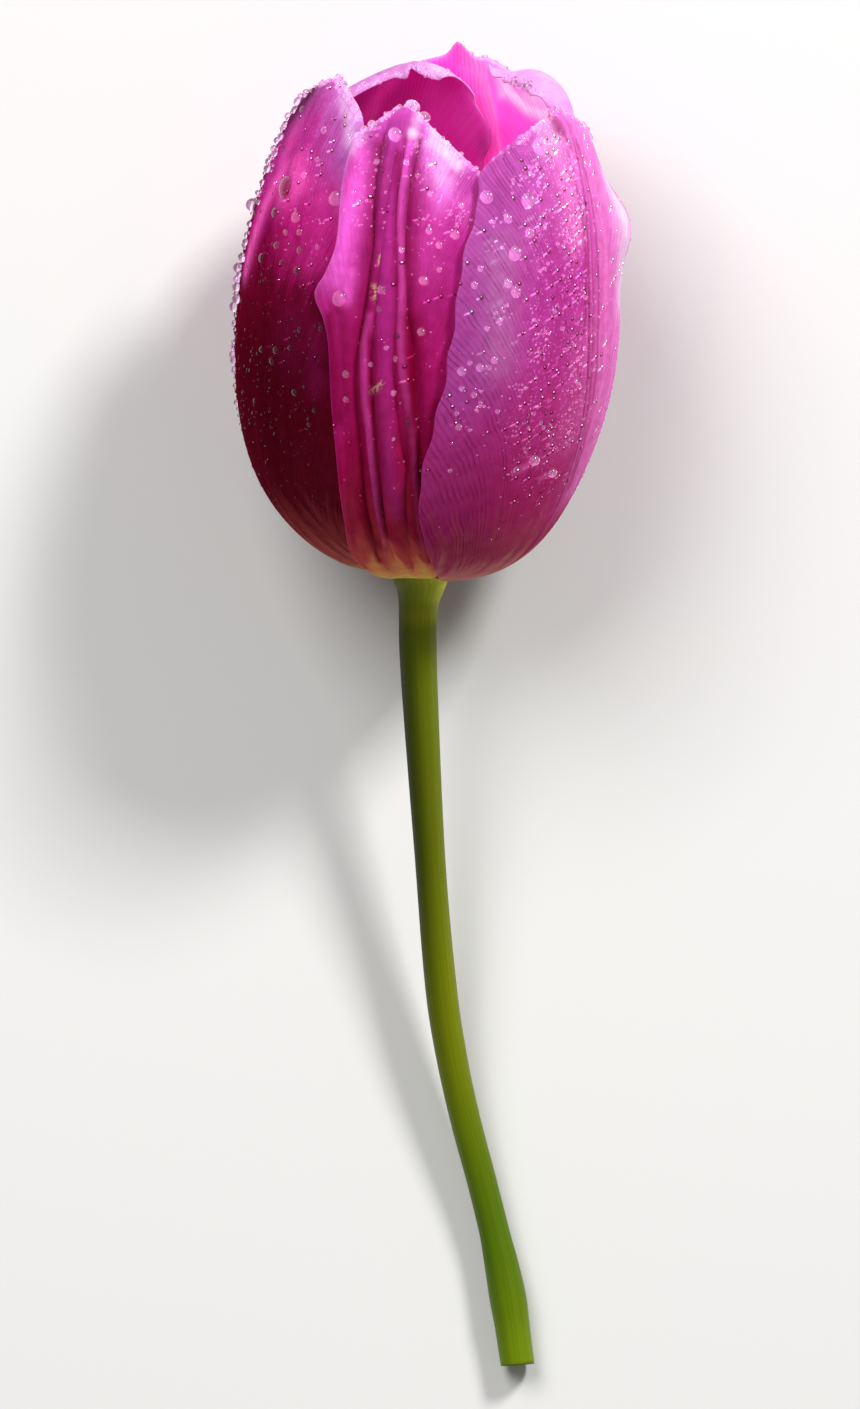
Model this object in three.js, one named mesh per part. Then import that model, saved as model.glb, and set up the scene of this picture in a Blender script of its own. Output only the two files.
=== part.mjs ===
// A single cut tulip lying on its side: six overlapping petals in two whorls, a curved stem that
// ends in the receptacle they grow from, and the pistil and six stamens inside the cup.
// Millimetres, +Z up. The origin is on the surface that the flower lies on, in the middle of the
// small flat spot where the lowest petal rests. +Y runs from the stem's cut end to the bloom.
import * as THREE from "three";
import { mergeVertices } from "three/addons/utils/BufferGeometryUtils.js";

// ---- Driving dimensions ----

// The bloom has a frame of its own: x towards its upper side, y to the right, z along its axis.
// Azimuths run round that axis from the upper side (0) to the right (90), in degrees.
const BLOOM_BASE = [-0.44, -29.7, 21.1]; // where the axis meets the petals' feet
const BLOOM_LIFT = 12; // the axis rises from the surface by this angle, in degrees
const BLOOM_LEAN = 2.5; // and leans to the right by this one

const BELLY_RADIUS = 27.8;
const BELLY_HEIGHT = 37; // height of the widest place above the base
const ROUNDNESS = 0.76; // under 1 gives a fuller bottom than an ellipse
const NARROWING = 9.3; // how much radius the cup loses in one more belly height
const NARROWING_POWER = 2.1;
const CUP_REACH = 1.4; // the outline is drawn this many belly heights past the belly
const FOOT_RADIUS = 4.05; // where a petal's foot starts beside the receptacle
const SWAY = [[2, 0], [11, -0.9], [18, -1], [30, -0.5], [42, -0.2], [60, 0]]; // to the right, by height

const PETAL_THICKNESS = 0.7;
const PETAL_ROUGHNESS = 0.45;
const LAYER = 0.65; // outer petals stand out, and inner ones in, by this much
const TIP_WIDTH = 0.12; // of the small point on a petal's tip, as a share of the half petal
const LAYER_CHANGE = 0.6; // the change from one side's layer to the other's ends here, as that share
const LIP_START = 0.7; // and a lifted margin starts here
const RIDGE_START = [2, 14]; // ridges rise between these heights
const RIDGE_END = [62, 78]; // and fade between these
const FLARE_EDGE = 0.5; // share of the half petal over which a flare fades sideways
const PETAL_COLUMNS = 16;
const PETAL_ROWS = 18;
const ROW_CROWDING = 0.5; // rows stand closer together at the foot and at the rim

const RECEPTACLE_RADIUS = 3.7;
const RECEPTACLE_TOP = 2.3;
const STEM_SIDES = 14;
const STEM_STEPS = 30;
const STEM_START = 2.2; // distance from the base to the stem's first ring below the receptacle
const STEM_CROWDING = 1.3; // over 1 puts more of the stem's rings close under the bloom
const STEM_FLAT_END = 9; // this much of the stem's end lies along the surface
const STEM_PRESS = 0.1; // and is pressed flat by this much
const STEM_COLOUR = 0x6f8214;
const STEM_ROUGHNESS = 0.5;
// Sideways course and radius of the stem, by distance from the bloom's base along Y.
const STEM_COURSE = [
  [0, 0], [10, -0.15], [19, 0.2], [46, 1.9], [64, 3.5], [74, 5.1],
  [83, 7.1], [92, 9.5], [101, 11.7], [110, 13.5], [119.7, 14.9],
];
const STEM_RADIUS = [
  [0, 3.9], [2.4, 3.8], [5, 3.2], [10, 2.9], [19, 2.72], [33, 2.46], [46, 2.3],
  [64, 2.4], [81, 2.3], [99, 2.28], [104.5, 2.58], [109.5, 2.8], [114, 2.66], [119.7, 2.55],
];
const STEM_REACH = STEM_COURSE[STEM_COURSE.length - 1][0];

const CLEARANCE = 0.3; // between neighbours that touch in the real flower

// Upright bodies: a half-width by share of the length, in lobes that stand out by a share of it.
const OVARY = {
  length: 19, section: [[0, 1.7], [0.2, 2.75], [0.5, 3.1], [0.8, 2.6], [1, 1.9]],
  lobes: 3, depth: 0.09, flatness: 1, sides: 18, steps: 9, colour: 0xb7c283, roughness: 0.5,
};
const STIGMA = {
  length: 4, section: [[0, 1.9], [0.35, 2.3], [0.75, 3.2], [1, 2.2]],
  lobes: 3, depth: 0.34, flatness: 1, sides: 18, steps: 5, colour: 0xe9dfb4, roughness: 0.7,
};
const FILAMENT = {
  length: 9.5, section: [[0, 0.62], [0.6, 0.6], [1, 0.36]],
  lobes: 1, depth: 0, flatness: 1, sides: 8, steps: 4, colour: 0xe3dc9a, roughness: 0.6,
};
const ANTHER = {
  length: 13.5, section: [[0, 0.55], [0.12, 1.1], [0.5, 1.3], [0.9, 1], [1, 0.45]],
  lobes: 2, depth: 0.16, flatness: 0.75, sides: 10, steps: 7, colour: 0x3a2038, roughness: 0.9,
};
const STAMENS = 6;
const STAMEN_RADIUS = 2.98; // how far the filaments' feet stand from the axis
const STAMEN_SPLAY = 16; // degrees outwards

// One entry a petal, in degrees and millimetres. By height above the base: azimuth of the middle
// line and half-widths left and right of it, seen from outside. Then the length of the middle
// line and the height of the point on its tip, the drop and the roundness of the two top
// corners, the waves of the rim by place across the petal, the layer of the two sides (1 outer,
// -1 inner), how far the margins lift outwards, how the rim rolls inwards, the ridges and grooves
// that run up the petal at an azimuth from its middle line, and where a margin flares outwards.
const PETALS = [
  {
    name: "petal_outer_right",
    colour: 0xc23a9c,
    azimuth: [[0, 56], [24, 56.5], [49, 59], [66, 64.5], [74, 67.5]],
    left: [
      [0, 34], [3.2, 45], [7.5, 51], [16, 55.5], [26, 54.5], [35, 52.5], [46, 51.7],
      [53, 50.8], [57.5, 48.6], [60, 48.6], [66, 45], [70, 43],
    ],
    right: [[0, 30], [2, 36], [7, 46], [24, 51], [44, 50], [59, 46], [66, 42]],
    length: 85.6,
    tip: 0.6,
    drop: [8.5, 9],
    corner: [1.6, 2],
    rim: [[-1, -0.6], [-0.8, -1.2], [-0.5, -1.1], [0, 0], [0.25, -1.5], [0.5, -2.6], [1, -1]],
    layer: [1, 1],
    lip: [0.45, 0.5],
    roll: { length: 3, turn: 35, middle: 0.05, spread: 0.35 },
    ridges: [
      { azimuth: [[0, 0]], height: -0.4, width: 2.4 },
      { azimuth: [[0, 6], [74, 4.5]], height: 0.25, width: 3 },
      { azimuth: [[0, -6], [74, -4.5]], height: 0.25, width: 3 },
    ],
    flare: { height: 53, reach: 5, out: 2.6, from: 0.25, until: 2 },
  },
  {
    name: "petal_outer_left",
    colour: 0x9c2a78,
    azimuth: [[0, -60], [60, -60], [76, -64]],
    left: [[0, 38], [2, 42], [7, 48], [24, 53], [44, 53], [59, 50], [69, 44]],
    right: [[0, 22], [2, 30], [7, 35], [19, 37], [35, 34.5], [49, 31.5], [61, 29.5], [71, 27]],
    length: 89.2,
    tip: 0.7,
    drop: [11, 6.5],
    corner: [1.4, 1.8],
    rim: [[-1, -0.8], [-0.5, -1.8], [0, 0], [0.5, -0.2], [1, 0]],
    layer: [1, -1],
    lip: [0, 0],
    roll: { length: 2, turn: 20, middle: 0, spread: 0.3 },
    ridges: [{ azimuth: [[0, -3], [74, 0]], height: 0.45, width: 4 }],
  },
  {
    name: "petal_outer_back",
    colour: 0xd63ba6,
    azimuth: [[0, 172], [74, 171.5]],
    left: [[0, 27], [2, 34], [7, 42], [24, 47], [44, 46], [59, 41], [69, 36]],
    right: [[0, 22], [2, 33], [7, 43], [24, 49], [44, 48], [59, 42], [69, 35]],
    length: 89.2,
    tip: 2.6,
    drop: [9, 9],
    corner: [1.3, 1.3],
    rim: [[-1, 0], [-0.4, 0.6], [-0.22, -0.3], [0, 0], [0.2, -0.3], [1, 0]],
    layer: [1, 1],
    lip: [0, 0],
    roll: { length: 3, turn: 12, middle: 0.1, spread: 0.3 },
    ridges: [{ azimuth: [[0, 0]], height: 0.2, width: 4 }],
  },
  {
    name: "petal_inner_front",
    colour: 0xc4369a,
    azimuth: [[0, -14], [24, -15], [74, -15.5]],
    left: [
      [0, 21], [2, 21], [5.3, 19.5], [8, 16], [12, 12.5], [21, 11.5], [30, 13.2], [39, 15.2],
      [42.5, 17.5], [46, 21.6], [49.4, 18.6], [54, 16.4], [62, 18.6], [69, 19.6],
    ],
    right: [[0, 34], [2, 36], [7, 40], [24, 43], [44, 43], [59, 40], [66, 36]],
    length: 87.8,
    tip: 1.6,
    drop: [7, 12],
    corner: [1.3, 1.25],
    rim: [
      [-1, -0.6], [-0.8, -1.5], [-0.6, -1.7], [-0.3, -0.6], [-0.1, 0],
      [0.3, -0.9], [0.6, -1.5], [0.8, -1.6], [1, -1],
    ],
    layer: [1, -1],
    lip: [0.5, 0],
    roll: { length: 3.2, turn: 60, middle: 0, spread: 0.28 },
    ridges: [
      { azimuth: [[0, 3], [34, 0.5], [74, -2]], height: 1.05, width: 4.2 },
      { azimuth: [[0, -6], [74, -6.5]], height: -0.45, width: 2.2 },
      { azimuth: [[0, 12], [19, 11], [34, 8.5], [47, 6], [74, 2.5]], height: -0.5, width: 2.2 },
    ],
    columns: 22,
  },
  {
    name: "petal_inner_back_right",
    colour: 0xe258bd,
    azimuth: [[0, 118], [74, 121]],
    left: [[0, 30], [2, 34], [7, 40], [24, 45], [44, 45], [59, 43], [69, 38]],
    right: [[0, 26], [2, 29], [7, 32], [24, 36], [44, 36], [59, 36], [69, 36]],
    length: 93.4,
    tip: 0.4,
    drop: [6.5, 7],
    corner: [1.8, 1.8],
    rim: [[-1, 0], [0.3, 0], [0.45, -0.8], [0.6, 0.2], [1, 0]],
    layer: [-1, -1],
    lip: [0, 0],
    roll: { length: 5.2, turn: 120, middle: 0.1, spread: 0.75 },
    ridges: [{ azimuth: [[0, 0]], height: -0.3, width: 4 }],
    flare: { height: 79, reach: 6.5, out: 2, from: -1.4, until: 0.5 },
  },
  {
    name: "petal_inner_back_left",
    colour: 0xc82b93,
    azimuth: [[0, 216], [19, 213], [44, 206], [59, 199], [74, 194]],
    left: [[0, 21], [2, 30], [7, 40], [24, 47], [44, 46], [56, 36], [65, 32], [71, 28]],
    right: [[0, 37], [2, 39], [7, 43], [24, 49], [44, 52], [59, 50], [69, 46], [75, 44]],
    length: 92.2,
    tip: 0,
    drop: [6, 12],
    corner: [1.8, 1.2],
    rim: [[-1, 0], [-0.7, 0.6], [-0.4, 1.3], [-0.2, 0.8], [-0.07, -1], [0.06, 0.2], [1, 0]],
    layer: [-1, -1],
    lip: [0, 0],
    roll: { length: 5.6, turn: 140, middle: 0.05, spread: 0.95 },
    ridges: [{ azimuth: [[0, 0]], height: -0.3, width: 4 }],
  },
];

// ---- Small helpers ----

const degrees = THREE.MathUtils.degToRad;
const mix = THREE.MathUtils.lerp;
const eased = THREE.MathUtils.smoothstep;
const bump = (distance, width) => Math.exp(-((distance / width) ** 2));

// The smooth curve through a list of [x, y] points, held level beyond its ends.
function through(points, x) {
  const last = points.length - 1;
  if (x <= points[0][0]) return points[0][1];
  if (x >= points[last][0]) return points[last][1];
  const i = points.findIndex((point) => point[0] > x) - 1;
  const slope = (k) => {
    const before = points[Math.max(k - 1, 0)];
    const after = points[Math.min(k + 1, last)];
    return (after[1] - before[1]) / (after[0] - before[0]);
  };
  const span = points[i + 1][0] - points[i][0];
  const t = (x - points[i][0]) / span;
  return (
    points[i][1] * (1 + 2 * t) * (1 - t) ** 2 +
    points[i + 1][1] * t * t * (3 - 2 * t) +
    slope(i) * span * t * (1 - t) ** 2 +
    slope(i + 1) * span * t * t * (t - 1)
  );
}

function geometryOf(positions) {
  const geometry = new THREE.BufferGeometry();
  geometry.setAttribute("position", new THREE.Float32BufferAttribute(positions, 3));
  const merged = mergeVertices(geometry, 1e-4);
  merged.computeVertexNormals();
  return merged;
}

// A closed solid from rings of points. Each ring runs counter-clockwise as seen from the next.
function ringSolid(rings) {
  const sides = rings[0].length;
  const positions = [];
  const face = (...corners) => corners.forEach((corner) => positions.push(...corner.toArray()));
  const middle = (ring) =>
    ring.reduce((sum, point) => sum.add(point), new THREE.Vector3()).divideScalar(sides);
  const first = rings[0];
  const last = rings[rings.length - 1];
  for (let k = 0; k < sides; k++) {
    const next = (k + 1) % sides;
    for (let r = 0; r + 1 < rings.length; r++) {
      face(rings[r][k], rings[r][next], rings[r + 1][next]);
      face(rings[r][k], rings[r + 1][next], rings[r + 1][k]);
    }
    face(middle(first), first[next], first[k]);
    face(middle(last), last[k], last[next]);
  }
  return geometryOf(positions);
}

function meshOf(name, geometry, colour, roughness) {
  const material = new THREE.MeshStandardMaterial({ color: colour, roughness, metalness: 0 });
  const mesh = new THREE.Mesh(geometry, material);
  mesh.name = name;
  return mesh;
}

// ---- The bloom's frame ----

const tulip = new THREE.Group();
tulip.name = "tulip";
const bloom = new THREE.Group();
bloom.name = "bloom";
bloom.position.set(...BLOOM_BASE);
{
  const lift = degrees(BLOOM_LIFT);
  const lean = degrees(BLOOM_LEAN);
  const axis = new THREE.Vector3(
    Math.sin(lean) * Math.cos(lift), Math.cos(lean) * Math.cos(lift), Math.sin(lift));
  const right = new THREE.Vector3(Math.cos(lean), -Math.sin(lean), 0);
  const upper = new THREE.Vector3().crossVectors(right, axis);
  bloom.setRotationFromMatrix(new THREE.Matrix4().makeBasis(upper, right, axis));
}
bloom.updateMatrixWorld(true);
tulip.add(bloom);

// ---- The cup's outline: radius and height, measured along its curve from the petals' feet ----

const outline = (() => {
  const steps = 240;
  const start = Math.asin((FOOT_RADIUS / BELLY_RADIUS) ** (1 / ROUNDNESS));
  const points = [];
  for (let i = 0; i <= steps; i++) {
    const angle = mix(start, Math.PI / 2, i / steps);
    const radius = BELLY_RADIUS * Math.sin(angle) ** ROUNDNESS;
    points.push(new THREE.Vector2(radius, BELLY_HEIGHT * (1 - Math.cos(angle))));
  }
  for (let i = 1; i <= steps; i++) {
    const above = (CUP_REACH * i) / steps;
    const radius = BELLY_RADIUS - NARROWING * above ** NARROWING_POWER;
    points.push(new THREE.Vector2(radius, BELLY_HEIGHT * (1 + above)));
  }
  return points;
})();
const outlineLengths = outline.map(() => 0);
for (let i = 1; i < outline.length; i++)
  outlineLengths[i] = outlineLengths[i - 1] + outline[i].distanceTo(outline[i - 1]);

// The outline's point at a length along it, and the direction in which it runs there.
function outlineAt(length) {
  let i = outlineLengths.findIndex((reached) => reached > length);
  i = Math.min(Math.max(i, 2), outline.length - 2);
  const t = (length - outlineLengths[i - 1]) / (outlineLengths[i] - outlineLengths[i - 1]);
  const before = outline[i].clone().sub(outline[i - 2]);
  const after = outline[i + 1].clone().sub(outline[i - 1]);
  return {
    place: outline[i - 1].clone().lerp(outline[i], t),
    run: before.lerp(after, t).normalize(),
  };
}

// ---- Petals ----

// How far a petal stands out of the cup's outline.
function standing(petal, u, height, offAxis) {
  let out = LAYER * mix(petal.layer[0], petal.layer[1], eased(u, -LAYER_CHANGE, LAYER_CHANGE));
  const middle = eased(height, ...RIDGE_START) * (1 - eased(height, ...RIDGE_END));
  for (const ridge of petal.ridges)
    out += ridge.height * middle * bump(offAxis - through(ridge.azimuth, height), ridge.width);
  out += petal.lip[u < 0 ? 0 : 1] * middle * eased(Math.abs(u), LIP_START, 1);
  if (petal.flare) {
    const { height: at, reach, out: most, from, until } = petal.flare;
    const across = eased(u, from, from + FLARE_EDGE) * (1 - eased(u, until - FLARE_EDGE, until));
    out += most * across * bump(height - at, reach);
  }
  return out;
}

// A point on a petal's middle surface, in the bloom's frame. From outside, u runs from -1 at its
// left margin to 1 at its right one, and v runs from 0 at the foot to 1 at the rim.
function petalPoint(petal, u, v) {
  const side = u < 0 ? 0 : 1;
  const corner = 1 - Math.sqrt(Math.max(0, 1 - Math.abs(u) ** petal.corner[side]));
  const even = petal.length - petal.drop[side] * corner;
  const along = v * (even + through(petal.rim, u) + petal.tip * bump(u, TIP_WIDTH));
  const straight = Math.min(along, even - petal.roll.length);
  const { place, run } = outlineAt(straight);
  const height = place.y;
  const offAxis = u * through(side ? petal.right : petal.left, height);
  const azimuth = degrees(through(petal.azimuth, height) + offAxis);

  // Past the straight part the rim turns inwards on a circle.
  const arc = along - straight;
  const rolling = Math.exp(-(((u - petal.roll.middle) / petal.roll.spread) ** 4));
  const turned = (degrees(petal.roll.turn) * rolling * arc) / petal.roll.length;
  const forward = turned > 1e-4 ? (arc * Math.sin(turned)) / turned : arc;
  const inward = turned > 1e-4 ? (arc * (1 - Math.cos(turned))) / turned : 0;
  const out = standing(petal, u, height, offAxis);
  const radius = place.x + run.x * forward + run.y * (out - inward);
  const level = place.y + run.y * forward - run.x * (out - inward);
  const point = new THREE.Vector3(
    radius * Math.cos(azimuth), radius * Math.sin(azimuth) + through(SWAY, level), level);
  return pressed(point, out);
}

// Where the lowest petals would reach below the surface that they lie on, they are pressed flat.
function pressed(point, out) {
  const world = bloom.localToWorld(point.clone());
  world.z = Math.max(world.z, PETAL_THICKNESS / 2 + Math.max(LAYER - out, 0));
  return bloom.worldToLocal(world);
}

function petalGeometry(petal) {
  const columns = petal.columns ?? PETAL_COLUMNS;
  const row = columns + 1;
  const nudge = 1e-3;
  const outer = [];
  const inner = [];
  for (let j = 0; j <= PETAL_ROWS; j++) {
    const t = j / PETAL_ROWS;
    const v = t - (ROW_CROWDING * Math.sin(2 * Math.PI * t)) / (2 * Math.PI);
    for (let i = 0; i <= columns; i++) {
      const u = mix(-1, 1, i / columns);
      const sideways = petalPoint(petal, Math.min(u + nudge, 1), v).sub(
        petalPoint(petal, Math.max(u - nudge, -1), v));
      const upwards = petalPoint(petal, u, Math.min(v + nudge, 1)).sub(
        petalPoint(petal, u, Math.max(v - nudge, 0)));
      const normal = sideways.cross(upwards).setLength(PETAL_THICKNESS / 2);
      const middle = petalPoint(petal, u, v);
      outer.push(middle.clone().add(normal));
      inner.push(middle.clone().sub(normal));
    }
  }

  const positions = [];
  const face = (...corners) => corners.forEach((corner) => positions.push(...corner.toArray()));
  for (let j = 0; j < PETAL_ROWS; j++)
    for (let i = 0; i < columns; i++) {
      const k = j * row + i;
      face(outer[k], outer[k + row + 1], outer[k + row]);
      face(outer[k], outer[k + 1], outer[k + row + 1]);
      face(inner[k], inner[k + row], inner[k + row + 1]);
      face(inner[k], inner[k + row + 1], inner[k + 1]);
    }
  const edge = (k, next) => {
    face(outer[k], inner[next], outer[next]);
    face(outer[k], inner[k], inner[next]);
  };
  const top = PETAL_ROWS * row;
  for (let i = 0; i < columns; i++) {
    edge(i, i + 1);
    edge(top + i + 1, top + i);
  }
  for (let j = 0; j < PETAL_ROWS; j++) {
    edge((j + 1) * row, j * row);
    edge(j * row + columns, (j + 1) * row + columns);
  }
  return geometryOf(positions);
}

for (const petal of PETALS)
  bloom.add(meshOf(petal.name, petalGeometry(petal), petal.colour, PETAL_ROUGHNESS));

// ---- Stem and receptacle ----

// The middle of the stem at a distance from the bloom's base along -Y. It leaves the bloom along
// the bloom's axis and comes down to lie along the surface at its end.
function stemMiddle(distance) {
  const settled = STEM_REACH - STEM_FLAT_END;
  const [x, y, z] = BLOOM_BASE;
  const lying = stemRadius(Math.max(distance, settled)) * Math.cos(Math.PI / STEM_SIDES) - STEM_PRESS;
  const fall = Math.tan(degrees(BLOOM_LIFT)) * settled;
  const t = Math.min(distance / settled, 1);
  const height = z * (1 + 2 * t) * (1 - t) ** 2 + lying * t * t * (3 - 2 * t) - fall * t * (1 - t) ** 2;
  return new THREE.Vector3(x + through(STEM_COURSE, distance), y - distance, height);
}

function stemRadius(distance) {
  return through(STEM_RADIUS, distance);
}

// A ring of points round a middle, square to a direction, with a flat side facing down.
function ringAround(middle, direction, radius) {
  const right = new THREE.Vector3().crossVectors(direction, new THREE.Vector3(0, 0, 1)).normalize();
  const upper = new THREE.Vector3().crossVectors(right, direction);
  return Array.from({ length: STEM_SIDES }, (_, k) => {
    const angle = (2 * Math.PI * (k + 0.5)) / STEM_SIDES;
    const point = middle.clone()
      .addScaledVector(right, radius * Math.sin(angle))
      .addScaledVector(upper, radius * Math.cos(angle));
    return point.setZ(Math.max(point.z, 0));
  });
}

{
  const axis = new THREE.Vector3(0, 0, 1).transformDirection(bloom.matrixWorld);
  const down = axis.clone().negate();
  const shoulder = -LAYER - PETAL_THICKNESS / 2 - CLEARANCE;
  const onAxis = (height) => new THREE.Vector3(0, 0, height).applyMatrix4(bloom.matrixWorld);
  const rings = [
    ringAround(onAxis(RECEPTACLE_TOP), down, RECEPTACLE_RADIUS),
    ringAround(onAxis(shoulder), down, RECEPTACLE_RADIUS),
  ];
  for (let i = 0; i <= STEM_STEPS; i++) {
    const distance = mix(STEM_START, STEM_REACH, (i / STEM_STEPS) ** STEM_CROWDING);
    const middle = stemMiddle(distance);
    const direction = i < STEM_STEPS
      ? stemMiddle(distance + 0.5).sub(stemMiddle(distance - 0.5)).normalize()
      : middle.clone().sub(stemMiddle(distance - 1)).normalize();
    rings.push(ringAround(middle, direction, stemRadius(distance)));
  }
  tulip.add(meshOf("stem", ringSolid(rings), STEM_COLOUR, STEM_ROUGHNESS));
}

// ---- Pistil and stamens ----

// An upright body that stands on the origin of its parent.
function uprightBody(name, body) {
  const rings = [];
  for (let j = 0; j <= body.steps; j++) {
    const share = j / body.steps;
    const radius = through(body.section, share);
    const ring = [];
    for (let k = 0; k < body.sides; k++) {
      const angle = (2 * Math.PI * k) / body.sides;
      const reach = radius * (1 + body.depth * Math.cos(body.lobes * angle));
      ring.push(new THREE.Vector3(
        reach * Math.cos(angle), body.flatness * reach * Math.sin(angle), share * body.length));
    }
    rings.push(ring);
  }
  return meshOf(name, ringSolid(rings), body.colour, body.roughness);
}

const seat = RECEPTACLE_TOP + CLEARANCE;
const ovary = uprightBody("ovary", OVARY);
ovary.position.z = seat;
const stigma = uprightBody("stigma", STIGMA);
stigma.position.z = seat + OVARY.length + CLEARANCE;
bloom.add(ovary, stigma);

for (let i = 1; i <= STAMENS; i++) {
  const stamen = new THREE.Group();
  const angle = (2 * Math.PI * (i - 0.5)) / STAMENS;
  stamen.position.set(STAMEN_RADIUS * Math.cos(angle), STAMEN_RADIUS * Math.sin(angle), seat);
  stamen.rotation.set(0, degrees(STAMEN_SPLAY), angle, "ZYX");
  const anther = uprightBody(`anther_${i}`, ANTHER);
  anther.position.z = FILAMENT.length + CLEARANCE;
  stamen.add(uprightBody(`filament_${i}`, FILAMENT), anther);
  bloom.add(stamen);
}

export default tulip;
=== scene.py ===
"""A cut tulip lying on a pale table: six veined petals, curved stem, pistil, stamens and dew."""

import math

import bmesh
import bpy
import numpy as np
from mathutils import Matrix, Vector


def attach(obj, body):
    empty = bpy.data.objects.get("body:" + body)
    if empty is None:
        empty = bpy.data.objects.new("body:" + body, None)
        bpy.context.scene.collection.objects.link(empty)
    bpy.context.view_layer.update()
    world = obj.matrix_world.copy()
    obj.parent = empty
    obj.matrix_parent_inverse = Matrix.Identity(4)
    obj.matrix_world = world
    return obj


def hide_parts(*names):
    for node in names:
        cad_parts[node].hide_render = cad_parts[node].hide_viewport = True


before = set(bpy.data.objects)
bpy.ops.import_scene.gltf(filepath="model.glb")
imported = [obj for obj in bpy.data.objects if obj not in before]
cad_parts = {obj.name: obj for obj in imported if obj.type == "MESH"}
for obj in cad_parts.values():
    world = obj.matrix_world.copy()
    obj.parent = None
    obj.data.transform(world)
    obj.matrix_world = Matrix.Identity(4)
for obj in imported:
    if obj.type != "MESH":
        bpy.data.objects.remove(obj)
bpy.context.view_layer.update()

bl_info = {
    "name": "Dewy Cut Tulip",
    "version": (1, 0, 0),
    "blender": (4, 5, 0),
    "location": "View3D > Sidebar > Tulip",
    "description": "Builds a cut tulip with veined petals and dew",
    "category": "Object",
}

MM = 0.001

# ---- The bloom's form, in millimetres, as the solids have it ----

# The bloom has a frame of its own: x towards its upper side, y to the right, z along its axis.
# Azimuths run round that axis from the upper side (0) to the right (90), in degrees.
BLOOM_BASE = np.array([-0.44, -29.7, 21.1])
BLOOM_LIFT = math.radians(12)
BLOOM_LEAN = math.radians(2.5)
BELLY_RADIUS = 27.8
BELLY_HEIGHT = 37
ROUNDNESS = 0.76
NARROWING = 9.3
NARROWING_POWER = 2.1
CUP_REACH = 1.4
FOOT_RADIUS = 4.05
SWAY = [(2, 0), (11, -0.9), (18, -1), (30, -0.5), (42, -0.2), (60, 0)]
PETAL_THICKNESS = 0.7
LAYER = 0.65
LAYER_CHANGE = 0.6
LAYER_START = (0.1, 1.8)
LIP_START = 0.7
RIDGE_START = (2, 14)
RIDGE_END = (62, 78)
FLARE_EDGE = 0.5
TIP_WIDTH = 0.12
MARGIN_BAND = 0.12  # how far the thinning reaches in from a side, as a share of half the width
RIM_STEEPNESS, FOOT_STEEPNESS = 3, 6  # how much shorter it is at the rim and at the foot
RECEPTACLE_TOP = 2.3
CLEARANCE = 0.3

_axis = np.array([
    math.sin(BLOOM_LEAN) * math.cos(BLOOM_LIFT),
    math.cos(BLOOM_LEAN) * math.cos(BLOOM_LIFT),
    math.sin(BLOOM_LIFT),
])
_right = np.array([math.cos(BLOOM_LEAN), -math.sin(BLOOM_LEAN), 0])
BLOOM_TURN = np.column_stack([np.cross(_right, _axis), _right, _axis])

# Courses of the grooves on both sides of the right petal's midrib, and of the front petal's folds.
MIDRIB_LEFT = [
    (5, 7), (12, 7.6), (16, 6.2), (22, 4.6), (30, 1.6), (41, -0.9),
    (50, -1.4), (70, 0.4),
]
MIDRIB = [(5, 8.2), (12, 8.7), (16, 7.2), (22, 5.5), (30, 2.5), (41, 0.1), (50, -0.4), (70, 1.4)]
MIDRIB_RIGHT = [
    (5, 9.4), (12, 9.8), (16, 8.2), (22, 6.4), (30, 3.4), (41, 1.1),
    (50, 0.6), (70, 2.4),
]
LEFT_GROOVE = [
    (5, -5.5), (10, -3.4), (16, -3.3), (22, -3.7), (28, -5), (33, -6.2), (37, -6.3),
    (43, -5.1), (49, -4.1), (55, -3.8), (60.5, -6), (66, -7.1), (70, -6.5),
]
LEFT_RIDGE = [(5, -1.7), (9, 1.2), (18, 0.7), (27, -1.3), (31, -2.9), (40, -4.1), (44, -3)]
MIDDLE_GROOVE = [(9, 3), (18, 3), (27, 1), (36, -1.3), (44, -1)]
INNER_GROOVE = [(20, 11.4), (25, 8.7), (36, 5), (46, 5), (52, 3.8), (58, 2.2), (69.5, 2.1)]
RIGHT_RIDGE = [
    (6.5, 18.4), (17, 15.3), (27, 11.8), (36, 8.1), (42, 6.7), (49.5, 6.2), (57, 4),
    (63, 3.3), (69, 4.3),
]
RIGHT_GROOVE = [
    (4.5, 22.3), (8.4, 20.8), (17, 17.4), (27, 14.5), (38, 11.7), (44, 8.7), (52.5, 6.4),
    (58, 5.9), (64, 6), (69.6, 8.3),
]

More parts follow.
